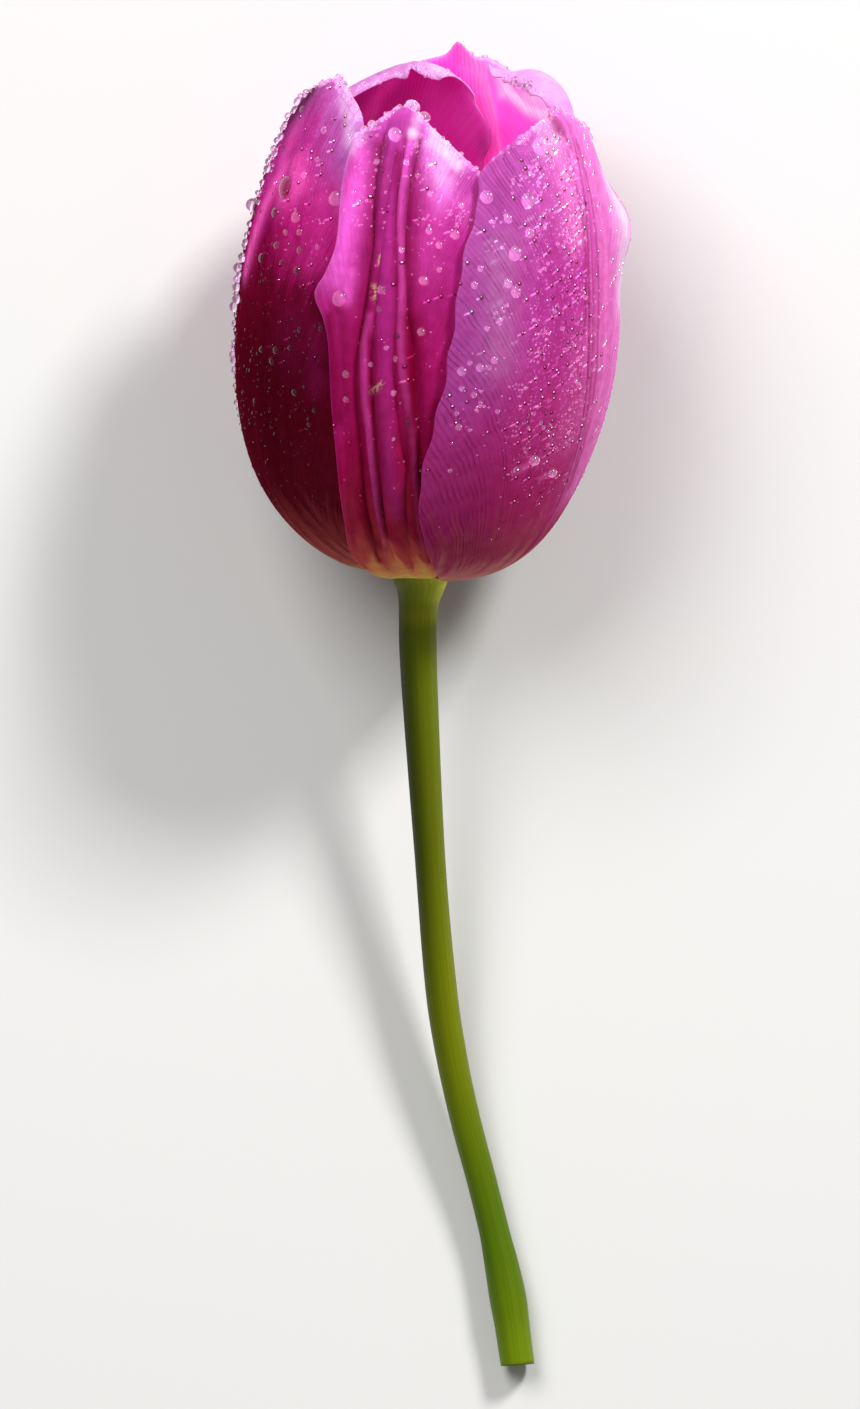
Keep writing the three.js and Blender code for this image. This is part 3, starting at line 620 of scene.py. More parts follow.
def colour(code):
    """The linear RGBA of a 0xRRGGBB colour."""
    parts = [((code >> shift) & 255) / 255 for shift in (16, 8, 0)]
    linear = [c / 12.92 if c <= 0.04045 else ((c + 0.055) / 1.055) ** 2.4 for c in parts]
    return (*linear, 1.0)


def mesh_of(bm, name):
    mesh = bpy.data.meshes.new(name)
    bm.to_mesh(mesh)
    bm.free()
    return mesh


def new_object(name, data):
    made = bpy.data.objects.new(name, data)
    bpy.context.collection.objects.link(made)
    return made


# ---- The cup's outline: radius and height, by length along its curve ----

def cup_outline(steps=240):
    start = math.asin((FOOT_RADIUS / BELLY_RADIUS) ** (1 / ROUNDNESS))
    angle = np.linspace(start, math.pi / 2, steps + 1)
    above = np.linspace(0, CUP_REACH, steps + 1)[1:]
    radius = np.concatenate([
        BELLY_RADIUS * np.sin(angle) ** ROUNDNESS,
        BELLY_RADIUS - NARROWING * above**NARROWING_POWER,
    ])
    height = np.concatenate([BELLY_HEIGHT * (1 - np.cos(angle)), BELLY_HEIGHT * (1 + above)])
    length = np.concatenate([[0], np.cumsum(np.hypot(np.diff(radius), np.diff(height)))])
    return radius, height, length, np.gradient(radius), np.gradient(height)


CUP = cup_outline()


def cup_at(length):
    """Radius and height at a length along the cup's outline, and its direction there."""
    radius, height, reached, run_radius, run_height = CUP
    run_r = np.interp(length, reached, run_radius)
    run_h = np.interp(length, reached, run_height)
    size = np.hypot(run_r, run_h)
    return (
        np.interp(length, reached, radius), np.interp(length, reached, height),
        run_r / size, run_h / size,
    )


# ---- Petals ----

def standing(petal, u, height, off):
    """How far a petal stands out of the cup's outline."""
    left, right = petal["layer"]
    out = LAYER * (left + (right - left) * smooth(u, -LAYER_CHANGE, LAYER_CHANGE))
    out = out * smooth(height, *LAYER_START)  # all six feet meet in one ring
    middle = smooth(height, *RIDGE_START) * (1 - smooth(height, *RIDGE_END))
    for course, rise, width in petal["folds"]:
        out = out + rise * middle * bump(off - through(course, height), width)
    out = out + np.where(u < 0, *petal["lip"]) * middle * smooth(np.abs(u), LIP_START, 1)
    if "flare" in petal:
        flare = petal["flare"]
        across = smooth(u, flare["from"], flare["from"] + FLARE_EDGE) * (
            1 - smooth(u, flare["until"] - FLARE_EDGE, flare["until"]))
        out = out + flare["out"] * across * bump(height - flare["height"], flare["reach"])
    return out


def petal_reach(petal, u):
    """Length of the petal at u without its waves, and with them."""
    corner = 1 - np.sqrt(np.maximum(0, 1 - np.abs(u) ** np.where(u < 0, *petal["corner"])))
    even = petal["length"] - np.where(u < 0, *petal["drop"]) * corner
    return even, even + through(petal["rim"], u) + petal["tip"] * bump(u, TIP_WIDTH)


def half_width(petal, u, height):
    """The azimuth from the petal's middle line to its margin, on the side that u is on."""
    left = through(petal["left"], height)
    if "scallops" in petal:
        depth, spacing, crest = petal["scallops"]
        left = left + depth * smooth(height, 8, 20) * np.cos(math.tau * (height - crest) / spacing)
    return np.where(u < 0, left, through(petal["right"], height))


def petal_places(petal, u, v):
    """World places in millimetres on a petal's middle surface, and where they are on the petal."""
    even, reach = petal_reach(petal, u)
    along = v * reach
    roll = petal["roll"]
    straight = np.minimum(along, even - roll["length"])
    place_r, height, run_r, run_h = cup_at(straight)
    off = u * half_width(petal, u, height)
    azimuth = np.radians(through(petal["azimuth"], height) + off)

    # Past the straight part the rim turns inwards on a circle.
    arc = along - straight
    rolling = np.exp(-(((u - roll["middle"]) / roll["spread"]) ** 4))
    turned = np.maximum(math.radians(roll["turn"]) * rolling * arc / roll["length"], 1e-4)
    forward = arc * np.sin(turned) / turned
    inward = arc * (1 - np.cos(turned)) / turned
    out = standing(petal, u, height, off)
    radius = place_r + run_r * forward + run_h * (out - inward)
    level = height + run_h * forward - run_r * (out - inward)
    local = np.stack([
        radius * np.cos(azimuth), radius * np.sin(azimuth) + through(SWAY, level), level], -1)
    places = in_world(local)
    pressed = PETAL_THICKNESS / 2 + np.maximum(LAYER - out, 0)
    places[..., 2] = np.maximum(places[..., 2], pressed)
    across = np.radians(off) * place_r
    return places, {"height": height, "off": off, "along": along, "across": across}


def thinning(u, v):
    """0 inside the petal and 1 at its margins."""
    inwards = np.minimum(1 - np.abs(u), np.minimum((1 - v) * RIM_STEEPNESS, v * FOOT_STEEPNESS))
    return np.clip(1 - inwards / MARGIN_BAND, 0, 1)


def petal_directions(petal, u, v, nudge=1e-3):
    """Unit vectors out of the petal's outer side, and along it to its rim."""
    sideways = (
        petal_places(petal, np.minimum(u + nudge, 1), v)[0]
        - petal_places(petal, np.maximum(u - nudge, -1), v)[0])
    upwards = (
        petal_places(petal, u, np.minimum(v + nudge, 1))[0]
        - petal_places(petal, u, np.maximum(v - nudge, 0))[0])
    return unit(np.cross(sideways, upwards)), unit(upwards)


def brushed(strokes, spot):
    """How strongly strokes cover each spot, from 0 to 1."""
    radius = np.maximum(np.interp(spot["height"], CUP[1], CUP[0]), 1)
    total = np.zeros_like(spot["height"])
    for places, width, strength in strokes:
        for (h0, a0), (h1, a1) in zip(places, places[1:] or places):
            # Distances in millimetres on the petal's surface.
            x = np.radians(spot["off"] - a0) * radius
            y = spot["height"] - h0
            dx, dy = np.radians(a1 - a0) * radius, h1 - h0
            t = np.clip((x * dx + y * dy) / (dx * dx + dy * dy + 1e-9), 0, 1)
            away = np.hypot(x - t * dx, y - t * dy)
            total = np.maximum(total, strength * bump(away, width))
    return total


def petal_mesh(name):
    """A fine grid shaped as the petal, with its colour strokes and veins as attributes."""
    petal, look = PETALS[name], LOOKS[name]
    columns, rows = look["sides"]
    bm = bmesh.new()
    bm.loops.layers.uv.new("Petal")
    bmesh.ops.create_grid(bm, x_segments=columns, y_segments=rows, size=1, calc_uvs=True)
    flat = np.array([vert.co[:2] for vert in bm.verts])
    u = flat[:, 0]
    share = (flat[:, 1] + 1) / 2
    places, spot = petal_places(petal, u, share)
    for vert, place in zip(bm.verts, places * MM):
        vert.co = place

    # The map is in tenths of a metre along the petal, so that patterns keep their real size.
    layer = bm.loops.layers.uv.active
    bm.verts.index_update()
    for face in bm.faces:
        face.smooth = True
        for loop in face.loops:
            i = loop.vert.index
            loop[layer].uv = (0.5 + spot["across"][i] / 100, spot["along"][i] / 100)

    mesh = mesh_of(bm, name)
    # Veins leave the middle of the petal one by one and bend out to its margins. Each vein is
    # where this number, in millimetres, stays the same.
    across = np.maximum(np.abs(spot["across"]), 0.5)
    drawn = {"vein": spot["along"] - VEIN_BEND * np.log(across / VEIN_SPAN), "share": share}
    drawn["margin"] = thinning(u, share)
    for tone, (_, strokes) in look["strokes"].items():
        drawn[tone] = brushed(strokes, spot)
        if tone in FADING_TONES:
            drawn[tone] = drawn[tone] * smooth(spot["height"], *FADING_HEIGHTS)
    for attribute, values in drawn.items():
        mesh.attributes.new(attribute, "FLOAT", "POINT").data.foreach_set(
            "value", np.ascontiguousarray(values, dtype=np.float32))
    return mesh


def new_piece(name, mesh, material, slot, *nodes):
    piece = new_object(name, mesh)
    mesh.materials.append(material)
    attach(piece, "root")
    if nodes:
        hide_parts(*nodes)
    return piece


def petal_piece(name, options):
    mesh = petal_mesh(name)
    piece = new_piece("fine_" + name, mesh, petal_material(name, False), "petal", name)
    mesh.materials.append(petal_material(name, True))
    body = piece.vertex_groups.new(name="body")
    margins = np.empty(len(mesh.vertices), dtype=np.float32)
    mesh.attributes["margin"].data.foreach_get("value", margins)
    levels = 6
    for level in range(levels + 1):
        chosen = np.nonzero((margins * levels).round() == level)[0]
        body.add(chosen.tolist(), 1 - level / levels, "REPLACE")
    wall = piece.modifiers.new("Wall", "SOLIDIFY")
    wall.thickness = options.thickness
    wall.offset = 0
    wall.vertex_group = "body"
    wall.thickness_vertex_group = options.thin_margin
    wall.material_offset = 1
    return piece


# ---- Stem, pistil and stamens ----

def tube_mesh(name, around, along, shape):
    """A closed tube. Shape gives world places in millimetres from angles and shares along it."""
    bm = bmesh.new()
    layer = bm.loops.layers.uv.new("Along")
    bmesh.ops.create_grid(bm, x_segments=around, y_segments=along, size=1, calc_uvs=True)
    flat = np.array([vert.co[:2] for vert in bm.verts])
    places = shape((flat[:, 0] + 1) * math.pi, (flat[:, 1] + 1) / 2)
    for vert, place in zip(bm.verts, places * MM):
        vert.co = place
    bmesh.ops.remove_doubles(bm, verts=bm.verts, dist=1e-6)
    ends = bmesh.ops.holes_fill(bm, edges=[edge for edge in bm.edges if edge.is_boundary])["faces"]
    if ends:
        bmesh.ops.inset_region(bm, faces=ends, thickness=0.0002, depth=0)
    for face in bm.faces:
        face.smooth = face not in ends
    bmesh.ops.recalc_face_normals(bm, faces=bm.faces)
    return mesh_of(bm, name)


def stem_middle(distance):
    """The stem's middle at a distance from the bloom's base, as the solid has it."""
    settled = STEM_REACH - STEM_FLAT_END
    x, y, z = BLOOM_BASE
    lying = through(STEM_RADIUS, np.maximum(distance, settled)) * math.cos(
        math.pi / STEM_SIDES) - STEM_PRESS
    fall = math.tan(BLOOM_LIFT) * settled
    t = np.minimum(distance / settled, 1)
    height = (
        z * (1 + 2 * t) * (1 - t) ** 2 + lying * t * t * (3 - 2 * t) - fall * t * (1 - t) ** 2)
    return np.stack([x + through(STEM_COURSE, distance), y - distance, height], -1)


def stem_shape(angle, share):
    """The receptacle inside the petals' feet, then the stem down to its cut end."""
    shares, levels, radii = zip(*RECEPTACLE)
    inside = shares[-1]
    level = np.interp(share, shares, levels)
    down = np.clip((share - inside) / (1 - inside), 0, 1)
    distance = STEM_START + (STEM_REACH - STEM_START) * down
    upper_part = (share <= inside)[:, None]
    axis = BLOOM_TURN[:, 2]
    middle = np.where(upper_part, BLOOM_BASE + level[:, None] * axis, stem_middle(distance))
    step = 0.5
    run = stem_middle(distance + step) - stem_middle(distance - step)
    run = np.where(upper_part, -axis, run / np.linalg.norm(run, axis=1, keepdims=True))
    right = np.cross(run, [0, 0, 1])
    right /= np.linalg.norm(right, axis=1, keepdims=True)
    upper = np.cross(right, run)
    radius = np.where(
        share <= inside, np.interp(share, shares, radii), through(STEM_RADIUS, distance))
    ribs = 1 - 0.006 * (1 + np.cos(9 * angle + 0.03 * distance))
    reach = (radius * ribs)[:, None]
    places = middle + reach * (right * np.sin(angle)[:, None] - upper * np.cos(angle)[:, None])
    places[:, 2] = np.maximum(places[:, 2], 0)
    return places


def body_shape(length, section, lobes, depth, flatness, origin, turn):
    """An upright body as the solids have it, with round ends, in the bloom's frame."""
    def shape(angle, share):
        # The ends close on themselves within this much of the length.
        end = 0.02
        closing = np.sqrt(np.clip(np.minimum(share, 1 - share) / end, 0, 1))
        radius = through(section, share) * closing * (1 + depth * (np.cos(lobes * angle) - 0.1))
        local = np.stack([
            radius * np.cos(angle), flatness * radius * np.sin(angle), share * length], -1)
        return in_world(local @ turn.T + origin)
    return shape


def heart_piece(node, slot, around, along, body, origin=(0, 0, 0), turn=np.eye(3)):
    shape = body_shape(*body, np.array(origin), turn)
    mesh = tube_mesh(node, around, along, shape)
    return new_piece("fine_" + node, mesh, heart_material(slot), slot, node)


# ---- Dew ----

def drop_form(segments, rings, above, below):
    """A drop of radius 1 whose widest part is in the XY plane."""
    bm = bmesh.new()
    bmesh.ops.create_uvsphere(bm, u_segments=segments, v_segments=rings, radius=1)
    for vert in bm.verts:
        vert.co.z *= above if vert.co.z > 0 else below
    for face in bm.faces:
        face.smooth = True
    return mesh_of(bm, "drop")


def scatter(rng, patch, clusters):
    """Heights, azimuths and diameters of drops over a patch, in short slanting rows if asked."""
    low, high, left, right, count, least, most = patch
    across, up = rng.uniform(left, right, count), rng.uniform(low, high, count)
    if clusters:
        first = np.arange(count) // ROW * ROW
        step = rng.uniform(-1, 1, count)
        across = across[first] + 2.4 * step + rng.normal(0, 0.5, count)
        up = up[first] + 0.9 * step + rng.normal(0, 0.35, count)
    return up, across, least + (most - least) * rng.random(count) ** 2.5


def dew_on(name, rng):
    """Places (across and along the petal), diameters, forms and lean to the rim of its drops."""
    petal, dew = PETALS[name], DEW[name]
    lots = []
    if "drops" in dew:
        height, off, across = np.array(dew["drops"]).T
        lots.append((height, off, across, (SPECK, SMALL_DROP, DROP)))
    if "spheres" in dew:
        height, off, across = np.array(dew["spheres"]).T
        lots.append((height, off, across, (SMALL_BEAD, BEAD)))
    for patch in dew.get("beads", ()):
        lots.append((*scatter(rng, patch, False), (SMALL_BEAD, BEAD)))
    for number, patch in enumerate(dew.get("specks", ())):
        lots.append((*scatter(rng, patch, number % 2 == 1), (SPECK, SMALL_DROP, DROP)))
    for height, off, across, forms in lots:
        u = off / half_width(petal, off, height)
        v = np.interp(height, CUP[1], CUP[2]) / petal_reach(petal, np.clip(u, -1, 1))[1]
        for place in zip(u, v, across):
            if abs(place[0]) < RIM_START and place[1] < RIM_START:
                yield (*place, next(form for form in forms if place[2] < form[0]), 0)
    for left, right, count, least, most in dew["rim"]:
        for _ in range(count):
            across = least + (most - least) * rng.random() ** 2
            inset = LARGE_BEAD_INSET * max(across - LARGE_BEAD, 0)
            yield (
                rng.uniform(left, right), rng.uniform(RIM_START, RIM_END) - inset,
                across, SMALL_BEAD if across < SMALL_BEAD[0] else BEAD, rng.uniform(0, RIM_LEAN))


def dew_piece(name, options):
    rng = np.random.default_rng(options.seed + sorted(DEW).index(name))
    petal, wall = PETALS[name], bpy.context.scene.tulip_petals
    u, v, across, forms, lean = zip(*dew_on(name, rng))
    u, v, across, lean = (np.array(values) for values in (u, v, across, lean))
    out, up = petal_directions(petal, u, v)
    out = unit(out * np.cos(lean)[:, None] + up * np.sin(lean)[:, None])
    half_wall = wall.thickness / MM / 2 * (1 - (1 - wall.thin_margin) * thinning(u, v))
    middle, spot = petal_places(petal, u, v)
    # How bright the drops' painted glow is, by height.
    glow = through(DEW[name].get("glow", [(0, 1)]), spot["height"])
    meshes = {form: drop_form(*form[1:]) for form in set(forms)}
    shapes = {form: np.array([vert.co for vert in mesh.vertices]) for form, mesh in meshes.items()}
    sun, slant = unit(np.array(KEY_LIGHT)), np.array(SLANT)
    bm = bmesh.new()
    places, sides = [], []
    for i, form in enumerate(forms):
        bm.from_mesh(meshes[form])
        radius = across[i] / 2
        turn = np.array(Vector(out[i]).to_track_quat("Z", "Y").to_matrix())
        spin = np.array(Matrix.Rotation(rng.uniform(0, math.tau), 3, "Z"))
        stretch = radius * np.array([rng.uniform(0.86, 1), 1, rng.uniform(0.85, 1.1)])
        # Its foot is a little inside the wall, so that water meets petal without a gap.
        sunk = half_wall[i] + (form[4] - 0.12) * radius - DEW_SINK
        reach = (shapes[form] * stretch) @ spin.T @ turn.T
        places.append(middle[i] + out[i] * sunk + reach)
        towards = unit(slant - (slant @ out[i]) * out[i])
        # How bright the drop's painted glow is, by how its petal faces the key light.
        least = 0.4 if form in BEAD_PAINTED_GLOW else 0
        lit = max(sun @ out[i], least) * radius * BEAD_PAINTED_GLOW.get(form, glow[i])
        sides.append(np.stack([
            reach @ towards, reach @ np.cross(out[i], towards), np.full(len(reach), lit)],
            -1) / radius)
    mesh = mesh_of(bm, "dew_" + name)
    mesh.vertices.foreach_set("co", np.ravel(np.concatenate(places) * MM).astype(np.float32))
    # Across each drop, for its painted light and shade: how far towards the light, how far beside
    # it, and how lit its petal is.
    mesh.attributes.new("sunward", "FLOAT_VECTOR", "POINT").data.foreach_set(
        "vector", np.ravel(np.concatenate(sides)).astype(np.float32))
    mesh.update()
    for spare in meshes.values():
        bpy.data.meshes.remove(spare)
    return new_piece(name.replace("petal", "dew"), mesh, dew_material(), "dew")


# ---- Materials ----

class Nodes:
    """A short way to add nodes to a tree and join them."""

    def __init__(self, tree):
        self.tree = tree

    def add(self, kind, settings=None, **inputs):
        node = self.tree.nodes.new("ShaderNode" + kind)
        for key, value in (settings or {}).items():
            setattr(node, key, value)
        self.give(node, **inputs)
        return node

    def give(self, node, **inputs):
        """Sets or joins inputs by name, with _ for a space, or by number, as _0."""
        for key, value in inputs.items():
            number = key[1:].isdigit()
            socket = node.inputs[int(key[1:]) if number else key.replace("_", " ")]
            if isinstance(value, bpy.types.NodeSocket):
                self.tree.links.new(value, socket)
            else:
                socket.default_value = value

    def maths(self, operation, a, b=0.0):
        return self.add("Math", {"operation": operation}, _0=a, _1=b).outputs[0]

    def times(self, a, b):
        return self.maths("MULTIPLY", a, b)

    def minus(self, a, b):
        return self.maths("SUBTRACT", a, b)

    def between(self, value, low, high, to_low=0.0, to_high=1.0, soft=True):
        return self.add(
            "MapRange", {"interpolation_type": "SMOOTHSTEP" if soft else "LINEAR"},
            Value=value, From_Min=low, From_Max=high, To_Min=to_low, To_Max=to_high).outputs[0]

    def mix(self, share, a, b, blend="MIX"):
        return self.add(
            "Mix", {"data_type": "RGBA", "blend_type": blend}, _0=share, _6=a, _7=b).outputs[2]

    def tinted(self, tint, by, clamp=False):
        """A colour times another, which is 0xRRGGBB or three factors."""
        by = colour(by) if isinstance(by, int) else (*by, 1.0)
        product = self.mix(1.0, tint, by, "MULTIPLY")
        product.node.clamp_result = clamp
        return product

    def noise(self, place, scale, detail=2.0, dimensions="2D"):
        return self.add("TexNoise", {"noise_dimensions": dimensions},
                        Vector=place, Scale=scale, Detail=detail).outputs["Fac"]

    def attribute(self, name, output="Fac"):
        return self.add("Attribute", {"attribute_name": name}).outputs[output]

    def separated(self, vector):
        return self.add("SeparateXYZ", Vector=vector).outputs

    def where(self):
        return self.add("TexCoord").outputs["Object"]

    def raised(self, height, strength, distance):
        """Normals of a surface that a height raises by up to a distance in metres."""
        return self.add(
            "Bump", Height=height, Strength=strength, Distance=distance).outputs[0]

    def group(self, name, build, **inputs):
        tree = bpy.data.node_groups.get(name) or build(name)
        return self.add("Group", {"node_tree": tree}, **inputs).outputs

    def ramp(self, value, stops):
        node = self.add("ValToRGB", Fac=value)
        ramp = node.color_ramp
        ramp.interpolation = "EASE"
        while len(ramp.elements) < len(stops):
            ramp.elements.new(0.5)
        for element, (place, code) in zip(ramp.elements, stops):
            element.position = place
            element.color = colour(code)
        return node.outputs["Color"]


def new_group(name, inputs, outputs):
    """A shader group with named inputs, as (name, kind, default), and float outputs."""
    tree = bpy.data.node_groups.new(name, "ShaderNodeTree")
    for label, kind, default in inputs:
        socket = tree.interface.new_socket(label, in_out="INPUT", socket_type="NodeSocket" + kind)
        if default is not None:
            socket.default_value = default
    for label in outputs:
        tree.interface.new_socket(label, in_out="OUTPUT", socket_type="NodeSocketFloat")
    given = tree.nodes.new("NodeGroupInput").outputs
    return tree, Nodes(tree), given, tree.nodes.new("NodeGroupOutput")


def new_material(name):
    """A new material, a way to add nodes to it, and its shader."""
    material = bpy.data.materials.new(name)
    material.use_nodes = True
    tree = material.node_tree
    return material, Nodes(tree), tree.nodes["Principled BSDF"]


def vein_group(name):
    """Fine veins: dark lines and paler stripes between them, from a vein number in millimetres."""
    tree, make, given, out = new_group(
        name, [("Vein", "Float", 0.0), ("Spacing", "Float", 0.7), ("Place", "Vector", None)],
        ("Line", "Stripe", "Height"))
    wander = make.noise(given["Place"], 6.0, 3.0)
    label = make.maths("ADD", given["Vein"], make.times(wander, 5.0))
    count = make.maths("DIVIDE", label, given["Spacing"])
    ridge = make.maths("ABSOLUTE", make.minus(make.maths("FRACT", count), 0.5))
    pick = make.add("TexWhiteNoise", {"noise_dimensions": "1D"},
                    W=make.maths("FLOOR", count)).outputs["Value"]
    line = make.minus(1.0, make.between(ridge, 0.5, 0.22))
    broken = make.noise(given["Place"], 40.0)
    strength = make.times(
        make.between(pick, 0.0, 1.0, 0.25, 1.0), make.between(broken, 0.35, 0.65, 0.3, 1.0))
    wide = make.add("TexNoise", {"noise_dimensions": "1D"},
                    W=label, Scale=0.45, Detail=2.0).outputs["Fac"]
    make.give(out, Line=make.times(line, strength), Stripe=make.between(wide, 0.3, 0.7),
              Height=make.times(make.between(ridge, 0.0, 0.5), strength))
    return tree


def skin_group(name):
    """The velvety grain of a petal's skin: cells drawn out along it."""
    tree, make, given, out = new_group(
        name, [("Place", "Vector", None), ("Cell", "Float", 900.0)],
        ("Grain", "Blotch", "Fleck", "Mottle"))
    drawn = make.add("Mapping", Vector=given["Place"], Scale=(3.0, 1.0, 1.0)).outputs[0]
    cells = make.add("TexVoronoi", {"voronoi_dimensions": "2D", "feature": "SMOOTH_F1"},
                     Vector=drawn, Scale=given["Cell"]).outputs["Distance"]
    make.give(out, Grain=cells, Blotch=make.noise(drawn, 9.0, 4.0),
              Fleck=make.noise(given["Place"], 190.0, 3.0),
              Mottle=make.noise(given["Place"], 50.0, 3.0))
    return tree


def fine_dew_group(name):
    """Dew too fine for drops of its own, painted: dark beads with painted highlights and painted
    streaks of gathered light.
    """
    tree, make, given, out = new_group(
        name, [("Place", "Vector", None), ("Density", "Float", 0.5)], ("Bead", "Streak", "Spark"))
    long, wide = 2.1, 1.5  # of a cell, in millimetres
    slant = make.add(
        "Mapping", {"vector_type": "TEXTURE"}, Vector=given["Place"],
        Rotation=(0.0, 0.0, math.radians(21)), Scale=(long / 100, wide / 100, 1.0)).outputs[0]
    cells = make.add("TexVoronoi", {"voronoi_dimensions": "2D"},
                     Vector=slant, Scale=1.0, Randomness=0.75).outputs
    away = make.separated(make.add(
        "VectorMath", {"operation": "SUBTRACT"}, _0=slant, _1=cells["Position"]).outputs[0])
    x, y = make.times(away["X"], long), make.times(away["Y"], wide)
    bead_place = 0.42

    def near(above, reach, softness):
        dx, dy = make.minus(x, bead_place), make.minus(y, above)
        far = make.maths("SQRT", make.maths("ADD", make.times(dx, dx), make.times(dy, dy)))
        return make.between(far, reach, reach - softness)

    chance = make.add("SeparateColor", Color=cells["Color"]).outputs
    crowd = make.noise(slant, 0.3, 1.0)
    dense = make.times(given["Density"], make.between(crowd, 0.35, 0.6, 0.1, 1.6))
    there = make.maths("GREATER_THAN", dense, chance[0])
    streak = make.times(
        make.between(make.maths("ABSOLUTE", y), 0.22, 0.08), make.between(x, -1.2, -0.5))
    streak = make.times(streak, make.between(x, 0.25, 0.1))
    streak = make.times(streak, make.between(chance[1], 0.2, 1.0, 0.05, 1.0))
    spark = make.times(near(0.12, 0.15, 0.07), there)
    make.give(out, Streak=make.times(streak, there), Bead=make.times(near(0.0, 0.48, 0.34), there),
              Spark=make.times(spark, make.between(chance[2], 0.0, 1.0, 0.15, 1.0)))
    return tree


def petal_material(name, inside):
    material, make, shader = new_material(name + ("_inside" if inside else "_outside"))
    look, options = LOOKS[name], bpy.context.scene.tulip_petals

    place = make.add("UVMap", {"uv_map": "Petal"}).outputs[0]
    spread = make.separated(place)
    across = make.maths("ABSOLUTE", make.minus(spread["X"], 0.5))
    share = make.attribute("share")
    skin = make.group("petal_skin", skin_group, Place=place)
    fan = make.group("petal_veins", vein_group, Vein=make.attribute("vein"), Place=place,
                     Spacing=options.vein_spacing * FAN_SPREAD)
    lengthwise = make.group("petal_veins", vein_group, Vein=make.times(spread["X"], 100.0),
                            Place=place, Spacing=options.vein_spacing * LENGTHWISE_SPREAD)
    outer_part = make.between(across, 0.03, 0.1)
    line, stripe, height = (
        make.add("Mix", {"data_type": "FLOAT"},
                 _0=outer_part, _2=lengthwise[label], _3=fan[label]).outputs[0]
        for label in ("Line", "Stripe", "Height"))

    # The ladder of colours runs up the petal, a little uneven, and further up in some stripes.
    uneven = make.times(make.minus(skin["Blotch"], 0.5), 0.08)
    striped = make.times(make.minus(stripe, 0.5), 0.05)
    step = make.maths("ADD", share, make.maths("ADD", uneven, striped))
    tint = make.ramp(step, look["inside" if inside else "ladder"])
    thin = make.maths("POWER", make.attribute("margin"), 3.0)
    pale = make.times(thin, make.between(share, 0.6, 0.9, 0.0, 0.4))
    tint = make.mix(pale, tint, (*options.margin_tint, 1.0))
    for tone, (code, _) in look["strokes"].items():
        if code and (tone in INSIDE_TONES) == inside:
            if tone == "scar":
                streaky = make.between(skin["Fleck"], 0.42, 0.5)
            else:
                streaky = make.between(stripe, 0.0, 1.0, 0.75, 1.0)
            tint = make.mix(make.times(make.attribute(tone), streaky), tint, colour(code))
    lined = make.times(line, make.between(make.attribute("lined"), 0.0, 1.0, 0.22, 1.0))
    darker = make.tinted(tint, 0xa86090)
    tint = make.mix(make.times(lined, options.vein_strength), tint, darker)
    mottled = make.between(skin["Mottle"], 0.4, 0.62, 0.0, 0.0 if inside else 0.25)
    tint = make.mix(mottled, tint, make.tinted(tint, 0xd0a0c0))
    # Painted dew: beads painted darker with their shade, painted sparkles, and painted highlights
    # and streaks of gathered light that glow.
    if not inside and "glint" in look["strokes"]:
        glint = make.attribute("glint")
        fine = make.group("fine_dew", fine_dew_group, Place=place, Density=glint)
        brighter = make.tinted(tint, (1.8, 4.6, 2.4), clamp=True)
        brightest = make.tinted(tint, (1.9, 15.0, 4.0))
        dim = make.tinted(tint, 0xb05070)
        painted_sparkles = make.times(
            make.between(skin["Fleck"], 0.6, 0.72), make.between(glint, 0.1, 0.5, 0.0, 0.6))
        tint = make.mix(make.maths("MAXIMUM", fine["Streak"], painted_sparkles), tint, brighter)
        tint = make.mix(fine["Bead"], tint, dim)
        gathered = make.mix(make.times(fine["Streak"], 0.12), BLACK, brighter)
        make.give(shader, Emission_Color=make.mix(fine["Spark"], gathered, brightest),
                  Emission_Strength=2.0)
    if inside:
        # Painted glow on the inner side, stronger towards the rim, stands for light coming through
        # the petals into the cup.
        painted_through_light = make.times(share, look.get("lit", 0.12))
        make.give(shader, Emission_Color=make.mix(painted_through_light, BLACK, tint),
                  Emission_Strength=1.0)
    relief = make.maths("ADD", height, make.times(skin["Grain"], 0.25))
    make.give(shader, Base_Color=tint, Roughness=make.between(skin["Blotch"], 0.3, 0.7, 0.45, 0.6),
              Subsurface_Weight=0.35, Subsurface_Radius=(1.0, 0.3, 0.7), Subsurface_Scale=0.002,
              Specular_IOR_Level=0.0, Normal=make.raised(relief, 0.35, 0.00012))
    return material


